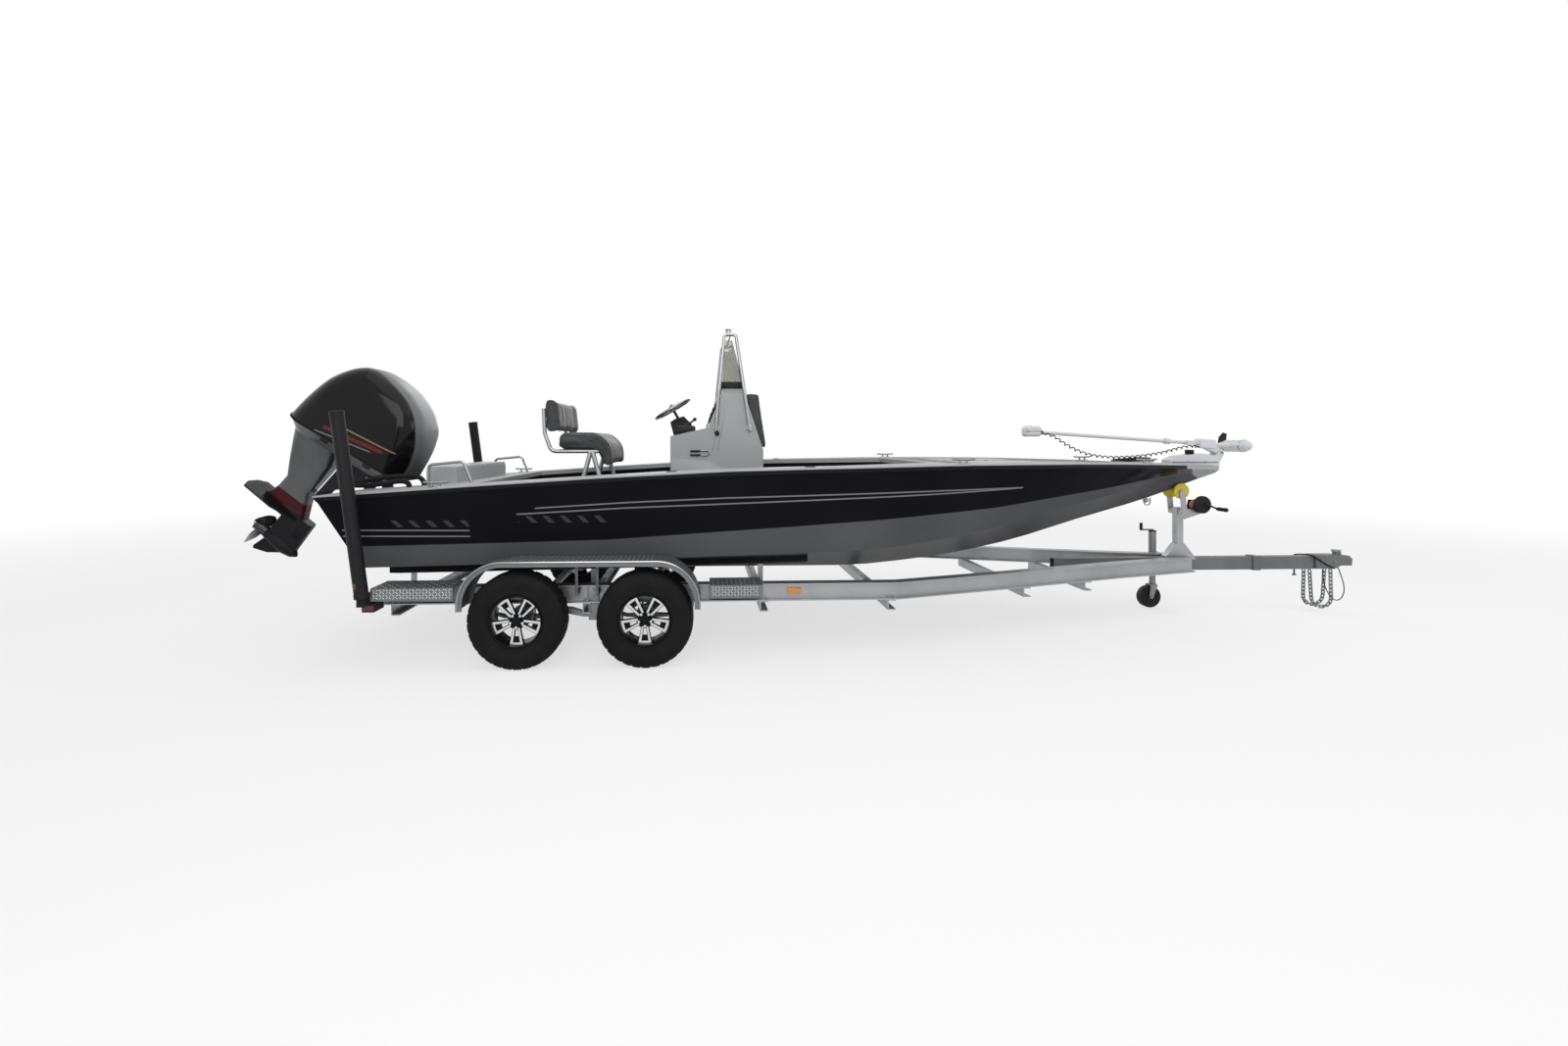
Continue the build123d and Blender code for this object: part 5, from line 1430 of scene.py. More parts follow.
@dataclass
class Cushion:
    """A stuffed pad that starts as a smaller prism and is blown up as cloth.

    Attributes:
        name: Name of the piece.
        node: Frame node that it stands for.
        outline: Side outline as (x, z).
        half: Half width.
        finish: Vinyl of the pad.
        shrink: How much smaller it starts.
        voxel: Size of its cells.
        reach: Farthest that a point may move.
        seams: Sewn channels as distances from the middle.
        fill: How full it is stuffed; not used.
        pressure: Pressure that blows it up.
        frames: Steps of the cloth run.
        groove: Depth and half width of a sewn channel.
        welt: Radius of the welt and how far it stands outside.
    """

    name: str
    node: str
    outline: Sequence[tuple[float, float]]
    half: float
    finish: Finish
    shrink: float = 0.01
    voxel: float = 0.009
    reach: float = 0.016
    seams: tuple[float, ...] = ()
    fill: float = 0.85
    pressure: float = 4.0
    frames: int = 16
    groove: tuple[float, float] = (0.007, 0.009)
    welt: tuple[float, float] = (0.0045, 0.006)

    def build(self) -> None:
        """Builds the pad with its piping."""
        mesh = self._blank()
        mesh = self._blow(mesh)
        self._sew(mesh)
        mesh.materials.clear()
        mesh.materials.append(self.finish.material())
        mesh.shade_smooth()
        made = shown(self.name, mesh)
        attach(made, Body.ROOT.value)
        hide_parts(self.node)
        self._piping(made)
        LOG.info("%s: %d faces", self.name, len(mesh.polygons))

    def _inset(self) -> list[tuple[float, float]]:
        """The outline, moved in by the amount that it starts smaller.

        Returns:
            Corners of the smaller outline.
        """
        count = len(self.outline)
        turned = (*self.outline[1:], self.outline[0])
        area = sum(a[0] * b[1] - b[0] * a[1] for a, b in zip(self.outline, turned))
        side = 1 if area > 0 else -1
        moved = []
        for index in range(count):
            before, here, after = (Vector(self.outline[(index + step) % count]) for step in (-1, 0, 1))
            first, second = (here - before).normalized(), (after - here).normalized()
            inward = Vector((-first.y - second.y, first.x + second.x)) * side
            length = self.shrink / max((1 + first.dot(second)) / 2, 0.35) / 2
            moved.append(tuple(here + inward * length))
        return moved

    def _blank(self) -> bpy.types.Mesh:
        """Rounded prism, cut into even cells.

        Returns:
            The pad before it is blown up.
        """
        form = Form()
        half = self.half - self.shrink
        form.plate([(x, -half, z) for x, z in self._inset()], (0, 2 * half, 0), edge=0.022, segments=3)
        mesh = bpy.data.meshes.new(self.name)
        form.bm.to_mesh(mesh)
        form.bm.free()
        blank = shown("blank", mesh)
        cells = blank.modifiers.new("cells", "REMESH")
        cells.mode = "VOXEL"
        cells.voxel_size = self.voxel
        even = after_modifiers(blank)
        bpy.data.objects.remove(blank)
        even.name = self.name
        return even

    def _blow(self, mesh: bpy.types.Mesh) -> bpy.types.Mesh:
        """Blows the mesh up as cloth and caps how far its points move.

        Args:
            mesh: The even blank.

        Returns:
            The pad as it is blown up.
        """
        scene = bpy.context.scene
        pad = shown("pad", mesh)
        cloth = pad.modifiers.new("cloth", "CLOTH")
        cloth.settings.use_pressure = True
        cloth.settings.uniform_pressure_force = self.pressure
        cloth.settings.effector_weights.gravity = 0.0
        cloth.settings.quality = 4
        cloth.settings.mass = 0.3
        cloth.point_cache.frame_start = 1
        cloth.point_cache.frame_end = self.frames
        for step in range(1, self.frames + 1):
            scene.frame_set(step)
        blown = after_modifiers(pad)
        for rest, moved in zip(mesh.vertices, blown.vertices):
            shift = moved.co - rest.co
            if shift.length > self.reach:
                moved.co = rest.co + shift.normalized() * self.reach
        bpy.data.objects.remove(pad)
        scene.frame_set(1)
        return blown

    def _sew(self, mesh: bpy.types.Mesh) -> None:
        """Presses the sewn channels into the pad.

        Args:
            mesh: The pad's mesh.
        """
        depth, wide = self.groove
        for vertex in mesh.vertices:
            off = min((abs(abs(vertex.co.y) - seam) for seam in self.seams), default=math.inf)
            vertex.co -= vertex.normal * depth * math.exp(-((off / wide) ** 2))

    def _piping(self, pad: bpy.types.Object) -> None:
        """Thin welt along both side edges of the pad.

        Args:
            pad: The pad's object.
        """
        radius, out = self.welt
        form = Form()
        count = len(self.outline)
        for side in (-1, 1):
            ring = []
            for index in range(count):
                start, end = Vector(self.outline[index]), Vector(self.outline[(index + 1) % count])
                steps = max(int((end - start).length / 0.03), 1)
                for step in range(steps):
                    x, z = start.lerp(end, step / steps)
                    _, near, _, _ = pad.closest_point_on_mesh((x, side * (self.half + out), z))
                    ring.append(tuple(near))
            form.pipe(ring + ring[:1], radius, sides=8, bend=3)
        form.piece(f"{self.name}_welt", VINYL_DARK)


SEAT_VINYL = PanelVinyl("seat_vinyl", (0.05, 0.051, 0.055), rough=0.5, shine=0.25, grain=Grain.LEATHER,
                        grain_scale=420, grain_depth=0.0006, sheen=0.1)
CUSHIONS = (
    Cushion("helm_seat", "post_cushion",
            ((-2.16, 1.507), (-2.16, 1.61), (-2.13, 1.638), (-2.02, 1.642), (-1.862, 1.638),
             (-1.8, 1.618), (-1.755, 1.575), (-1.728, 1.505), (-1.722, 1.43), (-1.726, 1.365),
             (-1.79, 1.351), (-1.802, 1.43), (-1.83, 1.482), (-1.885, 1.507)), 0.45, SEAT_VINYL,
            seams=(0.13, 0.2, 0.24, 0.27)),
    Cushion("helm_backrest", "post_back",
            ((-2.247, 1.632), (-2.262, 1.925), (-2.175, 1.925), (-2.145, 1.645)), 0.45, SEAT_VINYL,
            seams=(0.13, 0.2, 0.24, 0.27)),
    Cushion("front_seat", "front_cushion",
            ((-0.47, 1.2303), (-0.47, 1.32), (-0.04, 1.31), (-0.04, 1.2303)), 0.37, VINYL_DARK,
            seams=(0.12, 0.245)),
    Cushion("front_backrest", "front_pad",
            ((-0.6367, 1.974), (-0.52, 1.974), (-0.45, 1.512), (-0.4797, 1.503)), 0.37, VINYL_DARK,
            shrink=0.006, voxel=0.008, reach=0.01, seams=(0.12, 0.245)),
)


@dataclass
class Tilted:
    """The outboard's upright frame, turned about its tilt axis to the place at rest.

    Attributes:
        axis_x: Place of the axis along.
        axis_z: Height of the axis.
        turn: Turn at rest.
    """

    axis_x: float = -3.79
    axis_z: float = 1.24
    turn: float = math.radians(41)

    def matrix(self) -> Matrix:
        """Matrix from the upright frame to the place at rest."""
        move = Matrix.Translation((self.axis_x, 0, self.axis_z))
        return move @ Matrix.Rotation(self.turn, 4, "Y")

    def settle(self, form: Form) -> None:
        """Moves all that is modelled to the place at rest."""
        bmesh.ops.transform(form.bm, matrix=self.matrix(), verts=form.bm.verts)


@dataclass(frozen=True)
class CowlPaint(Finish):
    """Black cowl with a pale band over its front and top and one warm flash.

    Attributes:
        pale: Colour of the band.
        flash: Colours of the flash.
    """

    pale: Triple = (0.17, 0.174, 0.18)
    flash: tuple[Triple, Triple] = ((0.15, 0.018, 0.014), (0.24, 0.17, 0.08))

    def dress(self, sketch: Sketch) -> None:
        """Paints outside an oval and along three slanting lines in the upright frame.

        Args:
            sketch: Node tree being drawn.
        """
        sketch.set_plain(self)
        raw = sketch.place()
        along, across, up = upright_axes(sketch, raw)
        reach = sketch.math("ABSOLUTE", sketch.math("MULTIPLY_ADD", along, 1.667, 0.667))
        rise = sketch.math("ABSOLUTE", sketch.math("MULTIPLY", up, 1.333))
        oval = sketch.math("ADD", sketch.math("POWER", reach, 2.5), sketch.math("POWER", rise, 2.5))
        band = sketch.between(oval, 0.0, 1.0, 0.98, 1.02)
        front = sketch.between(along, 0.0, 1.0, -0.62, -0.6)
        band = sketch.math("MULTIPLY", band, front)
        cloud = sketch.noise(raw, 4.0, detail=4.0)
        paint = sketch.mix(band, sketch.shades(cloud, self.colour, 0.1),
                           sketch.shades(cloud, self.pale, 0.06))
        side = sketch.between(sketch.math("ABSOLUTE", across), 0.0, 1.0, 0.2, 0.21)
        for colour, level, lean, width, start, end in (
            (self.flash[0], 0.225, 0.3, 0.016, -0.52, -0.02),
            (self.flash[1], 0.262, 0.24, 0.007, -0.44, 0.06),
            (self.pale, 0.19, 0.34, 0.006, -0.56, -0.1),
        ):
            line = sketch.math("MULTIPLY_ADD", along, lean, level + 0.08)
            off = sketch.math("ABSOLUTE", sketch.math("SUBTRACT", up, line))
            near = sketch.between(off, 1.0, 0.0, width * 0.85, width * 1.1)
            near = sketch.math("MULTIPLY", near, sketch.band(along, start, end, 0.01))
            near = sketch.math("MULTIPLY", near, side)
            paint = sketch.mix(near, paint, colour)
        sketch.link(paint, "Base Color")
        sketch.link(sketch.between(band, self.rough, 0.3, 0, 1), "Roughness")
        sketch.relief(raw, self)


def upright_axes(sketch: Sketch, place: Socket) -> tuple[Socket, ...]:
    """Coordinates in the outboard's upright frame.

    Args:
        sketch: Node tree being drawn.
        place: Object coordinates.

    Returns:
        Along, across and up, measured from the tilt axis.
    """
    tilt = Tilted()
    shift = sketch.node("ShaderNodeVectorMath", operation="SUBTRACT")
    sketch.feed(place, shift.inputs[0])
    shift.inputs[1].default_value = (tilt.axis_x, 0, tilt.axis_z)
    turn = sketch.node("ShaderNodeVectorRotate", rotation_type="Y_AXIS")
    sketch.feed(shift.outputs[0], turn.inputs["Vector"])
    turn.inputs["Angle"].default_value = -tilt.turn
    return sketch.axes(turn.outputs[0])


@dataclass(frozen=True)
class LowerPaint(Finish):
    """Silver leg over a dark lower unit, with a red wedge between them.

    Attributes:
        red: Colour of the wedge.
    """

    red: Triple = (0.055, 0.006, 0.011)

    def dress(self, sketch: Sketch) -> None:
        """Paints the flash by height in the upright frame.

        Args:
            sketch: Node tree being drawn.
        """
        sketch.set_plain(self)
        raw = sketch.place()
        along, _, up = upright_axes(sketch, raw)
        low = sketch.math("MULTIPLY_ADD", along, 0.22, -0.56)
        above = sketch.between(sketch.math("SUBTRACT", up, low), 0.0, 1.0, -0.003, 0.003)
        top = sketch.math("MULTIPLY_ADD", along, 0.05, -0.53)
        below = sketch.between(sketch.math("SUBTRACT", up, top), 1.0, 0.0, -0.003, 0.003)
        share = sketch.math("MULTIPLY", above, below)
        cloud = sketch.noise(raw, 4.0, detail=4.0)
        silver = sketch.shades(cloud, self.colour, 0.12)
        dark = sketch.mix(above, MOTOR_DARK.colour, silver)
        sketch.link(sketch.mix(share, dark, self.red), "Base Color")
        sketch.relief(raw, self)


COWL_PAINT = CowlPaint("cowl_paint", (0.006, 0.006, 0.007), rough=0.1, coat=0.05, shine=0.16,
                       grain=Grain.PEEL, grain_scale=30, grain_depth=0.0001)
LEG_PAINT = LowerPaint("leg_paint", (0.1, 0.103, 0.108), metal=0.6, rough=0.27, shine=0.3,
                       grain=Grain.PEEL, grain_scale=90, grain_depth=0.0002)


# Sections of the cowl above its seam: height, rear, front, half width
COWL_ROWS = (
    (0.001, -0.511, 0.566, 0.29), (0.2, -0.466, 0.554, 0.314), (0.4, -0.404, 0.512, 0.306),
    (0.54, -0.322, 0.405, 0.272), (0.64, -0.222, 0.235, 0.205), (0.68, -0.11, 0.08, 0.105),
    (0.687, -0.05, 0.02, 0.04),
)


@dataclass
class Outboard:
    """Cowl and fittings of the outboard in its own upright frame.

    Attributes:
        seam: Place of the cowl's seam as (along, up).
        slope: Slope of the seam.
    """

    seam: tuple[float, float] = (-0.35, 0.097)
    slope: float = math.radians(9)

    def build(self) -> None:
        """Builds all pieces of the outboard."""
        self._cowl()
        self._seam_band()
        self._latches()
        self._bracket_bolts()
        self._tilt_rams()
        self._intakes_below()
        self._prop_nut()

    def _on_seam(self, form: Form) -> None:
        """Moves all that is modelled from the cowl's frame to the place at rest."""
        matrix = Matrix.Translation((self.seam[0], 0, self.seam[1])) @ Matrix.Rotation(-self.slope, 4, "Y")
        bmesh.ops.transform(form.bm, matrix=Tilted().matrix() @ matrix, verts=form.bm.verts)

    def _ring(self, rear: float, front: float, half: float, z: float) -> list[Triple]:
        """Rounded rectangle of points in the cowl's frame.

        Args:
            rear: Its aft end.
            front: Its front end.
            half: Its half width.
            z: Its height.

        Returns:
            Points of the ring.
        """
        corner = min(half * 0.62, (front - rear) * 0.31)
        points = []
        for cx, cy, start in ((front - corner, half - corner, 0), (rear + corner, half - corner, 90),
                              (rear + corner, -half + corner, 180), (front - corner, -half + corner, 270)):
            for step in range(9):
                angle = math.radians(start + step * 11.25)
                points.append((cx + corner * math.cos(angle), cy + corner * math.sin(angle), z))
        return points

    def _seam_band(self) -> None:
        """Rubber band that closes the gap between cowl and pan."""
        form = Form()
        rings = [self._ring(-0.511 - out, 0.566 + out, 0.29 + out, z)
                 for out, z in ((-0.004, -0.01), (0.004, -0.008), (0.005, 0.006), (-0.004, 0.009))]
        form.skin_over(rings, caps=False)
        self._on_seam(form)
        form.piece("cowl_seam", RUBBER, Body.MOTOR)

    def _cowl(self) -> None:
        """Smooth cowl through its sections, with a rounded top."""
        rows = eased(COWL_ROWS, 5)
        form = Form()
        form.skin_over([self._ring(rear, front, half, z) for z, rear, front, half in rows])
        self._on_seam(form)
        made = form.piece("cowl_skin", COWL_PAINT, Body.MOTOR, smooth=60)
        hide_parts("cowl")

    def _latches(self) -> None:
        """Cowl latches at the seam's sides."""
        form = Form()
        for x in (-0.1, 0.3):
            for side in (-1, 1):
                inner, outer = sorted((side * 0.285, side * 0.297))
                form.box((x - 0.035, inner, -0.035), (x + 0.035, outer, -0.004), edge=0.004)
        self._on_seam(form)
        form.piece("cowl_latches", SATIN_BLACK, Body.MOTOR)

    def _bracket_bolts(self) -> None:
        """Bolts of the clamp brackets and the set-back plate."""
        form = Form()
        for side in (-1, 1):
            for z in (0.8, 0.93, 1.04):
                form.bolt((-3.725, side * 0.166, z), (0, side, 0), 0.011)
            form.drum((-3.79, side * 0.186, 1.24), (-3.79, side * 0.198, 1.24), 0.034, sides=6, edge=0.003)
            for z in (0.72, 0.9):
                form.bolt((-3.63, side * 0.1215, z), (0, side, 0), 0.01)
        form.piece("bracket_bolts", STAINLESS)

    def _tilt_rams(self) -> None:
        """Cylinders and cross pin of the tilt unit between the brackets."""
        form = Form()
        for y in (-0.07, 0.07):
            form.drum((-3.752, y, 0.74), (-3.765, y, 1.02), 0.024, sides=20, edge=0.004)
            form.drum((-3.765, y, 1.02), (-3.772, y, 1.12), 0.012, sides=16)
        form.drum((-3.752, -0.11, 0.74), (-3.752, 0.11, 0.74), 0.014, sides=16)
        form.piece("tilt_unit", SATIN_BLACK)

    def _intakes_below(self) -> None:
        """Water inlets on the strut and the trim tab below the plate."""
        form = Form()
        for side in (-1, 1):
            y = side * 0.045
            for row in range(6):
                z = -0.83 + row * 0.013
                form.box((-0.235, y - 0.006, z), (-0.165, y + 0.006, z + 0.006), edge=0.002)
        form.box((-0.62, -0.012, -0.775), (-0.53, 0.012, -0.704), edge=0.006, segments=3)
        Tilted().settle(form)
        form.piece("lower_fittings", SATIN_BLACK, Body.MOTOR)

    def _prop_nut(self) -> None:
        """Nut and thrust washer at the end of the propeller shaft."""
        form = Form()
        end = -0.405 - 0.006 - 0.112
        form.drum((end + 0.001, 0, -0.95), (end - 0.006, 0, -0.95), 0.03, sides=28, edge=0.002)
        form.drum((end - 0.006, 0, -0.95), (end - 0.024, 0, -0.95), 0.019, sides=6, edge=0.002)
        form.drum((end - 0.024, 0, -0.95), (end - 0.034, 0, -0.95), 0.01, sides=16, edge=0.002)
        Tilted().settle(form)
        form.piece("prop_nut", STAINLESS, Body.PROPELLER)


@dataclass
class BowMotor:
    """Trim and fittings of the bow motor and its pedal.

    Attributes:
        pod: Middle of the pod.
    """

    pod: Triple = (3.92, 0, 1.53)

    def build(self) -> None:
        """Builds all pieces of the bow motor."""
        self._head()
        self._mount()
        self._pedal()
        self._pod()

    def _head(self) -> None:
        """Seam, gland and arrow of the control head."""
        form = Form()
        form.box((1.935, -0.0605, 1.659), (2.066, 0.0605, 1.664), edge=0.001)
        form.drum((1.985, 0, 1.708), (1.985, 0, 1.7135), 0.022, 0.016, sides=24)
        form.drum((2.066, 0, 1.6545), (2.1, 0, 1.6525), 0.024, 0.019, sides=24, edge=0.003)
        form.piece("head_trim", PLASTIC_BLACK, Body.BOW_MOTOR)
        form = Form()
        form.box((1.945, -0.012, 1.7095), (2.045, 0.012, 1.7125), edge=0.001)
        form.piece("head_arrow", PLASTIC_WHITE, Body.BOW_MOTOR)

    def _mount(self) -> None:
        """Bolts and pads of the deck mount."""
        form = Form()
        for side in (-1, 1):
            for x in (3.3, 3.42, 3.58):
                form.bolt((x, side * 0.0595, 1.385), (0, side, 0), 0.007, washer=False)
            form.drum((3.75, side * 0.049, 1.47), (3.75, side * 0.056, 1.47), 0.014, sides=6, edge=0.001)
        form.piece("mount_bolts", STAINLESS)
        form = Form()
        form.box((3.27, -0.065, 1.3785), (3.7, 0.065, 1.384), edge=0.002)
        form.box((3.455, -0.03, 1.452), (3.505, 0.03, 1.495), edge=0.008, segments=3)
        form.piece("mount_pads", RUBBER)

    def _pedal(self) -> None:
        """Ribbed tread and buttons of the foot pedal."""
        form = Form()
        low, high = Vector((2.945, 0, 1.399)), Vector((3.175, 0, 1.4165))
        for row in range(9):
            at = low.lerp(high, row / 8)
            form.box((at.x - 0.006, 0.135, at.z - 0.003), (at.x + 0.006, 0.275, at.z + 0.006), edge=0.002)
        for y in (0.16, 0.25):
            form.drum((3.21, y, 1.405), (3.21, y, 1.42), 0.016, sides=20, edge=0.003)
        form.piece("pedal_tread", RUBBER)

    def _pod(self) -> None:
        """Bands of the pod and the nut of its propeller."""
        form = Form()
        x, _, z = self.pod
        for y in (-0.088, 0.094):
            form.lathe([(0.0545, -0.006), (0.0565, -0.004), (0.0565, 0.004), (0.0545, 0.006)], (x, y, z),
                       (0, 1, 0), steps=40)
        form.piece("pod_bands", STAINLESS, Body.BOW_MOTOR)
        form = Form()
        form.drum((x, 0.2085, z), (x, 0.222, z), 0.014, sides=6, edge=0.001)
        form.piece("bow_prop_nut", STAINLESS, Body.BOW_PROP)


# Places of the rear and the front axle
AXLES = (-2.26, -1.38)


@dataclass
class Wheel:
    """One trailer wheel: a tyre with its tread and a five-spoke rim.

    Attributes:
        row: Which axle.
        side: Side's name.
        x: Place of the axle.
        radius: Radius over the tread.
        half: Half the tyre's width.
        bead: Radius of the rim.
        outer_y: Outer face of the tyre.
        steps: Steps around the tyre.
        spokes: Number of spokes.
    """

    row: str
    side: str
    x: float
    radius: float = 0.336
    half: float = 0.102
    bead: float = 0.178
    outer_y: float = 1.268
    steps: int = 120
    spokes: int = 5

    def build(self) -> None:
        """Builds the tyre and the rim."""
        self._tyre()
        self._rim()

    def _matrix(self) -> Matrix:
        """Matrix from the wheel's own frame, outward along Z, to its place.

        Returns:
            The matrix.
        """
        out = 1 if self.side == "port" else -1
        turn = Matrix(((1, 0, 0, 0), (0, 0, out, 0), (0, 1, 0, 0), (0, 0, 0, 1)))
        return Matrix.Translation((self.x, out * (self.outer_y - self.half), self.radius)) @ turn

    def _place(self, form: Form) -> None:
        """Moves the modelled wheel to its axle.

        Args:
            form: Form of the wheel.
        """
        matrix = self._matrix()
        bmesh.ops.transform(form.bm, matrix=matrix, verts=form.bm.verts)
        if matrix.determinant() < 0:
            bmesh.ops.reverse_faces(form.bm, faces=form.bm.faces)

    def _name(self, part: str) -> str:
        """Name of a part of this wheel."""
        return f"{part}_{self.row}_{self.side}"

    def _tyre(self) -> None:
        """Tyre with raised side ribs, four grooves and cut shoulders."""
        half, top = self.half, self.radius
        side = [(0.18, 0.076), (0.184, 0.086), (0.194, 0.09), (0.197, 0.0935), (0.204, 0.094),
                (0.232, 0.0995), (0.236, 0.1015), (0.262, half), (0.286, 0.1005), (0.29, 0.0985),
                (0.308, 0.0945), (0.322, 0.086), (0.331, 0.074), (0.3345, 0.064)]
        crown = []
        for centre in (0.046, 0.016, -0.016, -0.046):
            for off, depth in ((0.0045, 0), (0.0035, 0.008), (-0.0035, 0.008), (-0.0045, 0)):
                crown.append((top - depth, centre + off))
        other = [(r, -z) for r, z in reversed(side)]
        form = Form()
        form.lathe(side + crown + other + [side[0]], steps=self.steps)
        bm = form.bm
        blocks = []
        for face in bm.faces:
            middle = face.calc_center_median()
            reach = math.hypot(middle.x, middle.y)
            column = int(round(math.degrees(math.atan2(middle.y, middle.x)) / (360 / self.steps) - 0.5))
            on_shoulder = 0.049 < abs(middle.z) < 0.088 and reach > 0.322
            on_rib = 0.021 < abs(middle.z) < 0.041 and reach > 0.335
            if (on_shoulder and column % 4 == 0) or (on_rib and column % 4 == 2):
                blocks.append(face)
        made = bmesh.ops.extrude_face_region(bm, geom=blocks)["geom"]
        bmesh.ops.delete(bm, geom=blocks, context="FACES")
        for vert in verts_of(made):
            outward = Vector((vert.co.x, vert.co.y, 0)).normalized()
            vert.co -= outward * 0.005
        self._place(form)
        made = form.piece(self._name("tread"), TYRE_RUBBER, self._body(), smooth=28)
        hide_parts(self._name("tyre"))

    def _body(self) -> Body:
        """Body of this wheel."""
        return Body(self._name("wheel"))

    def _rim(self) -> None:
        """Black barrel and five split spokes with bright faces, hub, nuts and cap."""
        form = Form()
        bead = self.bead
        form.lathe([(bead + 0.003, 0.09), (bead - 0.002, 0.093), (bead - 0.008, 0.088),
                    (bead - 0.012, 0.07), (bead - 0.014, -0.07), (bead - 0.006, -0.086),
                    (bead + 0.001, -0.086), (bead + 0.001, 0.082), (bead + 0.003, 0.09)], steps=72)
        form.lathe([(0.0, 0.052), (0.058, 0.052), (0.062, 0.048), (0.062, 0.0), (0.05, -0.05), (0, -0.05)])
        tip = bead - 0.012
        for spoke in range(self.spokes):
            turn = Matrix.Rotation(math.radians(54 + 360 / self.spokes * spoke), 4, "Z")
            for lean in (-1, 1):
                arm = (Vector((0.046, lean * 0.015)), Vector((tip, lean * 0.037)))
                self._leg(form, turn, arm, (0.02, 0.026), (0.028, 0.056))
                self._leg(form, turn, arm, (0.014, 0.02), (0.056, 0.0585), bright=True)
            foot = (Vector((0.11, 0)), Vector((tip, 0)))
            self._leg(form, turn, foot, (0.04, 0.062), (0.03, 0.0545))
            foot = (Vector((0.148, 0)), Vector((tip, 0)))
            self._leg(form, turn, foot, (0.076, 0.088), (0.0545, 0.0578), bright=True)
            form.skin = 1
            at = turn @ Vector((0.044, 0, 0.052))
            form.drum(at, at + Vector((0, 0, 0.014)), 0.0095, sides=6, edge=0.001)
        form.skin = 0
        form.lathe([(0.033, 0.052), (0.033, 0.066), (0.03, 0.071), (0.016, 0.074), (0, 0.0745)], steps=32)
        self._place(form)
        made = form.piece(self._name("wheel_rim"), (RIM_BLACK, RIM_BRIGHT), self._body(), smooth=30)
        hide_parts(self._name("rim"))

    @staticmethod
    def _leg(form: Form, turn: Matrix, run: tuple[Vector, Vector], widths: tuple[float, float],
             heights: tuple[float, float], bright: bool = False) -> None:
        """One tapering leg of a spoke.

        Args:
            form: Form of the rim.
            turn: Turn of the spoke.
            run: Foot and tip of the leg.
            widths: Its widths there.
            heights: Its back and its face.
            bright: Whether it is the thin bright face.
        """
        form.skin = int(bright)
        foot, tip = run
        along = (tip - foot).normalized()
        out = Vector((-along.y, along.x)) / 2
        low, high = widths
        corners = [foot - out * low, tip - out * high, tip + out * high, foot + out * low]
        outline = [turn @ Vector((*corner, heights[0])) for corner in corners]
        form.plate(outline, (0, 0, heights[1] - heights[0]), edge=0.0015 if bright else 0.003, segments=1)
        form.skin = 0


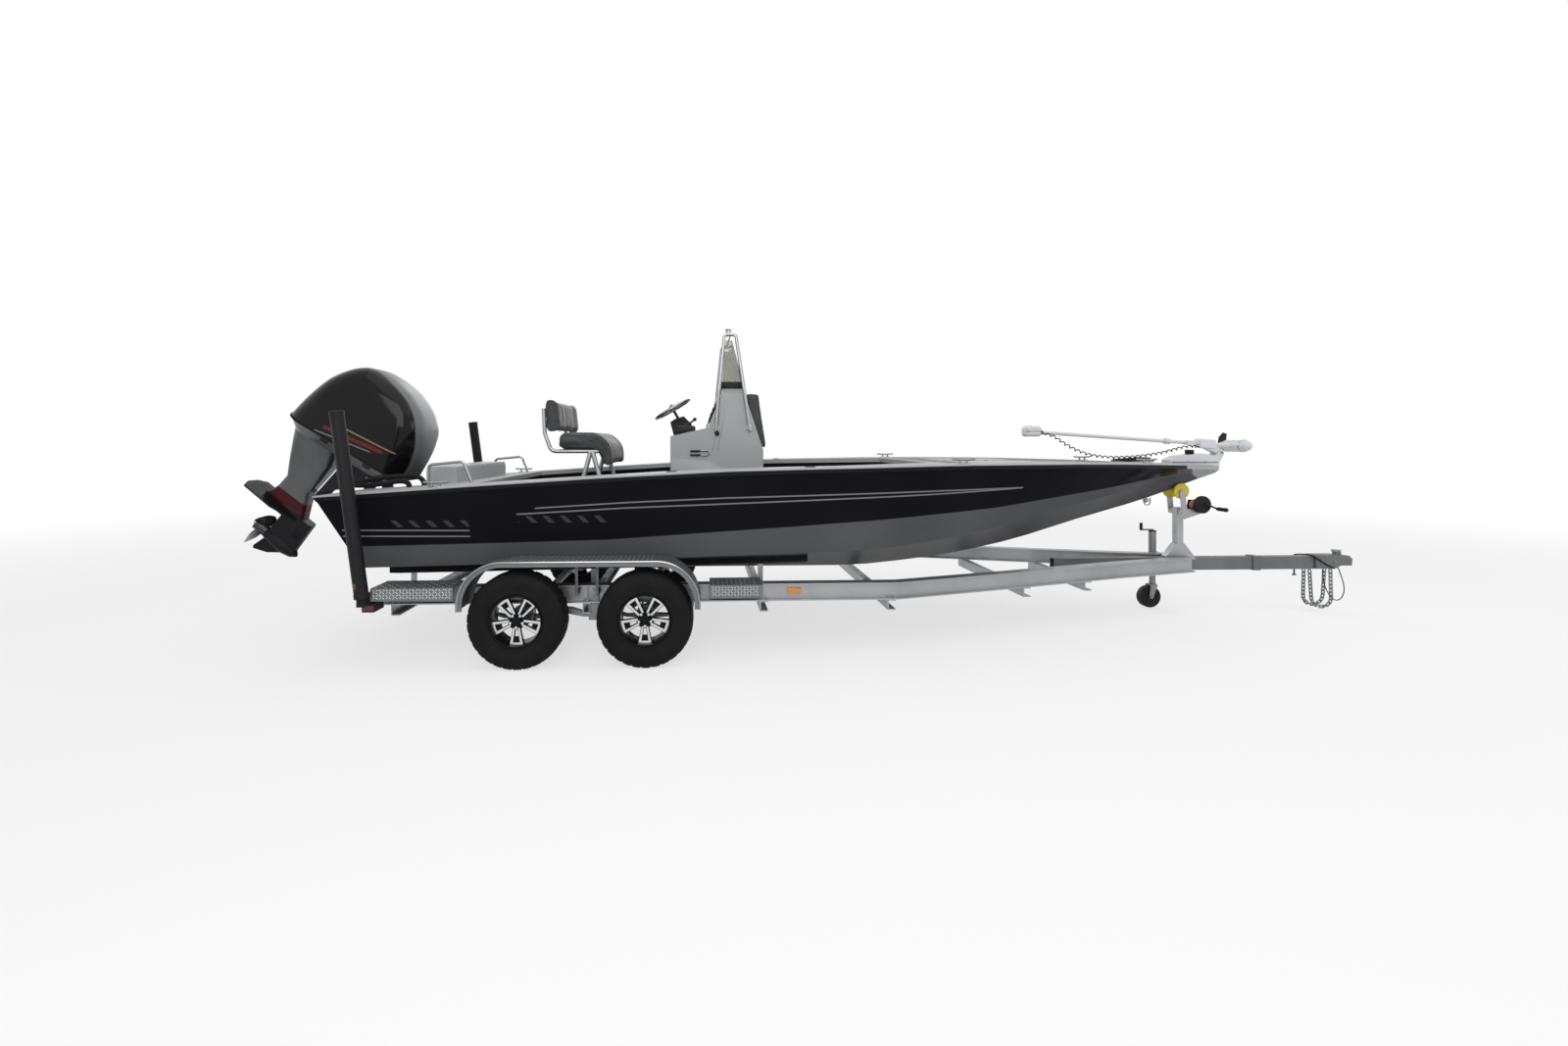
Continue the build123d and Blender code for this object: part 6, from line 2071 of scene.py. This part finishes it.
@dataclass
class Trailer:
    """Fenders and fittings of the trailer's frame.

    Attributes:
        axles: Places of the rear and the front axle.
        sweep: Radius of the fenders' ends.
        pitch: Distance between the tread plate's lozenges.
        jack_y: Place of the jack across.
    """

    axles: tuple[float, float] = AXLES
    sweep: float = 0.3
    pitch: float = 0.032
    jack_y: float = 0.222

    def build(self) -> None:
        """Builds all pieces of the trailer."""
        self._fenders()
        self._fender_edge()
        self._tread_plate()
        self._fender_brackets()
        self._bolts()
        self._u_bolts()
        self._lamps()
        self._post_caps()
        self._winch()
        self._jack()
        self._coupler()

    def _fender_route(self, inset: float) -> list[tuple[float, float]]:
        """Side route of the fender as (x, z), at an inset from its outer face."""
        low, high, top = -2.646 + inset, -0.997 - inset, 0.755 - inset
        return rounded([(low, 0.42), (low, top), (high, top), (high, 0.42)], self.sweep - inset, 16)

    def _fenders(self) -> None:
        """Folded fenders with a lip at both edges and a strut to the rail at both ends."""
        inner, outer, skin, lip = 1.05, 1.29, 0.005, 0.038
        form = Form()
        rings = [self._fender_route(deep) for deep in (0.0, skin, lip)]
        section = ((inner, 0), (outer, 0), (outer, 2), (outer - 0.006, 2), (outer - 0.006, 1),
                   (inner + 0.006, 1), (inner + 0.006, 2), (inner, 2))
        form.skin_over([[(spots[deep][0], y, spots[deep][1]) for y, deep in section]
                        for spots in zip(*rings)])
        for x in (-2.638, -1.005):
            form.box((x - 0.012, 0.957, 0.43), (x + 0.012, inner + 0.004, 0.47), edge=0.002)
        made = form.both("fender_skins", ALLOY_TREAD, smooth=30)
        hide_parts("fenders")

    def _fender_edge(self) -> None:
        """Rolled bright bead along the outer edge of both fenders."""
        form = Form()
        route = [(x, 1.291, z) for x, z in self._fender_route(0.005)]
        rings = []
        for index, point in enumerate(route):
            here = Vector(point)
            before = Vector(route[max(index - 1, 0)])
            after = Vector(route[min(index + 1, len(route) - 1)])
            run = (after - before).normalized()
            out = Vector((0, 1, 0))
            up = out.cross(run).normalized()
            rings.append([here + (out * math.cos(turn) + up * math.sin(turn)) * 0.009
                          for turn in (math.tau * step / 10 for step in range(10))])
        form.skin_over(rings)
        form.both("fender_beads", STAINLESS)

    def _tread_plate(self) -> None:
        """Raised lozenges of the tread plate on fenders and steps."""
        form = Form()
        pitch = self.pitch
        spots = []
        for x0, x1, y0, y1, z in ((-2.34, -1.3, 1.06, 1.285, 0.755), (-3.22, -2.69, 1.01, 1.245, 0.575),
                                  (-0.92, -0.57, 1.01, 1.245, 0.575)):
            rows, columns = int((y1 - y0) / pitch), int((x1 - x0) / pitch)
            for row in range(rows):
                for column in range(columns):
                    spots.append(((x0 + (column + 0.5) * pitch, y0 + (row + 0.5) * pitch, z),
                                  (row + column) % 2, False))
        for x0, x1 in ((-3.22, -2.69), (-0.92, -0.57)):
            for row in range(4):
                for column in range(int((x1 - x0) / 0.022)):
                    spots.append(((x0 + (column + 0.5) * 0.022, 1.25, 0.507 + row * 0.0175),
                                  (row + column) % 2, True))
        for place, lean, upright in spots:
            made = bmesh.ops.create_cone(form.bm, cap_ends=True, segments=6, radius1=0.011, radius2=0.006,
                                         depth=0.0022)["verts"]
            matrix = Matrix.Translation(place)
            if upright:
                matrix = matrix @ Matrix.Rotation(math.radians(-90), 4, "X")
            matrix = matrix @ Matrix.Rotation(math.radians(45 if lean else -45), 4, "Z")
            matrix = matrix @ Matrix.Diagonal((1.15, 0.36, 1, 1))
            bmesh.ops.transform(form.bm, matrix=matrix, verts=made)
        form.both("tread_plate", ALLOY_BRIGHT, smooth=10)

    def _fender_brackets(self) -> None:
        """Brackets that hold each fender to its rail between the wheels."""
        form = Form()
        middle = sum(self.axles) / 2
        for x in (middle - 0.062, middle + 0.085):
            form.box((x - 0.01, 0.957, 0.47), (x + 0.01, 1.064, 0.5), edge=0.002)
            form.box((x - 0.01, 1.056, 0.49), (x + 0.01, 1.064, 0.749), edge=0.002)
        form.both("fender_struts", ALLOY_DULL)
        form = Form()
        outline = ((-0.005, 0.52), (0.085, 0.52), (0.082, 0.268), (0.01, 0.268))
        form.plate([(middle + x, 0.967, z) for x, z in outline], (0, 0.007, 0), edge=0.002)
        for z in (0.3, 0.44, 0.49):
            form.bolt((middle + 0.045, 0.974, z), (0, 1, 0), 0.008)
        form.both("hanger_plates", GALVANISED)

    def _bolts(self) -> None:
        """Bolts through the rails' flanges at the cross members and brackets."""
        form = Form()
        for x in (-3.18, -1.82, -0.53, 0.42):
            for off in (-0.02, 0.02):
                form.bolt((x + off, 0.985, 0.409), (0, 0, 1), 0.008)
                form.bolt((x + off, 0.985, 0.3995), (0, 0, -1), 0.008)
        for x in (-2.6, -2.52, -1.12, -1.04, -0.86, -0.62, -3.16, -2.74):
            form.bolt((x, 0.955, 0.465), (0, 1, 0), 0.008)
        form.mirror()
        for x in (3.28, 3.46):
            for y in (-0.024, 0.024):
                form.bolt((x, y, 0.5245), (0, 0, 1), 0.007)
        for x in (4.7, 4.82):
            for side in (-1, 1):
                form.bolt((x, side * 0.0515, 0.465), (0, side, 0), 0.01)
        form.piece("frame_bolts", GALVANISED, smooth=20)

    def _u_bolts(self) -> None:
        """U-bolts and tie plates that hold the axles on the springs, and the hubs' drums."""
        form = Form()
        for x in self.axles:
            form.box((x - 0.06, 0.895, 0.262), (x + 0.06, 0.965, 0.274), edge=0.003)
            for off in (-0.045, 0.045):
                for y in (0.902, 0.958):
                    form.drum((x + off, y, 0.268), (x + off, y, 0.372), 0.006, sides=10)
                    form.bolt((x + off, y, 0.262), (0, 0, -1), 0.008, washer=False)
                form.pipe([(x + off, 0.902, 0.37), (x + off, 0.902, 0.385), (x + off, 0.958, 0.385),
                           (x + off, 0.958, 0.37)], 0.006)
        form.both("u_bolts", GALVANISED)
        form = Form()
        for x in self.axles:
            form.lathe([(0.045, 1.06), (0.072, 1.06), (0.075, 1.064), (0.075, 1.096), (0.072, 1.1),
                        (0.045, 1.1), (0.045, 1.06)], (x, 0, 0.336), (0, 1, 0), steps=40)
        form.both("hub_drums", ALLOY_DULL)

    def _lamps(self) -> None:
        """Side markers and the tail lamps' lenses."""
        form = Form()
        form.box((-0.35, 0.9562, 0.445), (-0.25, 0.9702, 0.485), edge=0.005)
        form.both("side_markers", LENS_AMBER)
        form = Form()
        form.box((-3.318, 1.07, 0.408), (-3.306, 1.19, 0.456), edge=0.004)
        form.box((-3.312, 1.196, 0.41), (-3.23, 1.204, 0.452), edge=0.003)
        form.both("tail_lenses", LENS_RED)

    def _post_caps(self) -> None:
        """Caps and foot rings of the guide posts, and the red lamps on them."""
        foot, top = Vector((-3.27, 1.28, 0.52)), Vector((-3.435, 1.28, 1.77))
        run = (top - foot).normalized()
        form = Form()
        form.drum(top - run * 0.02, top + run * 0.006, 0.0465, sides=28, edge=0.006)
        form.drum(foot - run * 0.004, foot + run * 0.03, 0.0475, sides=28, edge=0.003)
        form.both("post_caps", PLASTIC_BLACK)
        form = Form()
        out = Vector((-0.5, 1, 0)).normalized()
        spot = foot + run * 0.085
        form.ball(spot + out * 0.03, 0.021, (1, 1, 1.5))
        form.both("post_lamps", LENS_RED)

    def _winch(self) -> None:
        """Strap, gear cover and grip of the winch."""
        x, z = 3.545, 0.99
        form = Form()
        form.lathe([(0.0, 0.0), (0.074, 0.0), (0.08, 0.004), (0.08, 0.02), (0.07, 0.03), (0.0, 0.034)],
                   (x + 0.012, -0.0435, z + 0.006), (0, -1, 0), steps=40)
        form.drum((x + 0.012, -0.076, z + 0.006), (x + 0.012, -0.084, z + 0.006), 0.012, sides=6, edge=0.001)
        form.piece("winch_cover", SATIN_BLACK)
        form = Form()
        form.lathe([(0.034, -0.025), (0.049, -0.025), (0.05, -0.022), (0.05, 0.022), (0.049, 0.025),
                    (0.034, 0.025)], (x, 0, z), (0, 1, 0), steps=40)
        form.box((3.555, -0.024, 0.935), (3.561, 0.024, 0.99), edge=0.001)
        form.piece("winch_strap", STRAP_ORANGE)
        form = Form()
        form.lathe([(0.0, 0.0), (0.014, 0.002), (0.018, 0.02), (0.017, 0.07), (0.019, 0.1), (0.012, 0.112),
                    (0.0, 0.113)], (x + 0.13, -0.085, z - 0.03), (0, -1, 0), steps=28)
        form.piece("winch_grip", PLASTIC_BLACK)

    def _jack(self) -> None:
        """Crank grip and cap of the jack, and the nuts of its wheel's axle."""
        form = Form()
        y = self.jack_y
        form.drum((3.29, y, 0.716), (3.29, y, 0.728), 0.034, sides=32, edge=0.003)
        form.drum((3.18, y, 0.735), (3.18, y, 0.8), 0.0135, 0.0125, sides=20, edge=0.004)
        form.piece("jack_cap", PLASTIC_BLACK)
        form = Form()
        for side in (-1, 1):
            form.bolt((3.252, y + side * 0.042, 0.1015), (0, side, 0), 0.01)
        form.piece("jack_axle_nuts", GALVANISED, Body.JACK_FORK)

    def _coupler(self) -> None:
        """Latch lever of the coupler, and the brake line and pin on the tongue."""
        form = Form()
        form.box((4.85, -0.017, 0.548), (4.885, 0.017, 0.572), edge=0.005)
        form.box((4.865, -0.012, 0.56), (4.93, 0.012, 0.568), edge=0.003)
        form.drum((4.875, -0.022, 0.54), (4.875, 0.022, 0.54), 0.006, sides=12)
        form.piece("coupler_latch", GALVANISED)
        form = Form()
        form.pipe([(4.45, -0.03, 0.532), (4.5, -0.04, 0.54), (4.58, -0.058, 0.53),
                   (4.66, -0.062, 0.49), (4.76, -0.0625, 0.425), (4.8, -0.0625, 0.412)], 0.006)
        form.drum((4.48, 0, 0.402), (4.48, 0, 0.342), 0.006, sides=12)
        form.drum((4.462, 0, 0.342), (4.498, 0, 0.342), 0.0065, sides=12, edge=0.002)
        form.piece("brake_line_and_pin", RUBBER)


NODE_FINISHES = (
    (HULL_PAINT, "hull"), (DECK_PAINT, "deck_moulding"), (LEG_PAINT, "midsection"),
    (GEL_GREY, "bow_lid_port bow_lid_starboard stern_lid console"), (SHIELD, "windshield"),
    (STAINLESS, "stern_rail console_rails steering_wheel"), (MOTOR_DARK, "gearcase"),
    (PLASTIC_BLACK, "helm_pod foot_pedal bow_prop guide_posts jack_wheel"),
    (PLASTIC_WHITE, "bow_mount bow_shaft bow_head bow_pod"), (BRONZE_DARK, "propeller"),
    (SATIN_BLACK, "jack_plate clamp_brackets swivel_bracket powerhead winch"),
    (ALLOY, "post_frame side_rails cross_members winch_post"), (ALLOY_TREAD, "steps"),
    (ALLOY_DULL, "tongue coupler"), (CARPET, "bunks"), (ROLLER_YELLOW, "bow_roller"),
    (GALVANISED, "axles suspension jack_sleeve jack_leg jack_fork safety_chains"),
)


def dress_frame(nodes: dict[str, bpy.types.Object]) -> None:
    """Gives every visible node of the frame its finish.

    Args:
        nodes: Objects of the frame by name.
    """
    for finish, names in NODE_FINISHES:
        for name in names.split():
            materials = nodes[name].data.materials
            materials.clear()
            materials.append(finish.material())


def main() -> None:
    """Builds the boat, its trailer and the studio."""
    logging.basicConfig(level=logging.INFO, format="%(name)s %(message)s")
    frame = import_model()
    dress_frame(frame["nodes"])
    Studio().build()
    for cord in CORDS:
        cord.build()
    HullTrim().build()
    DeckGear().build()
    Console().build()
    for cushion in CUSHIONS:
        cushion.build()
    Outboard().build()
    BowMotor().build()
    Trailer().build()
    for row, x in zip(("rear", "front"), AXLES):
        for side in ("port", "starboard"):
            Wheel(row, side, x).build()


if __name__ == "__main__":
    main()
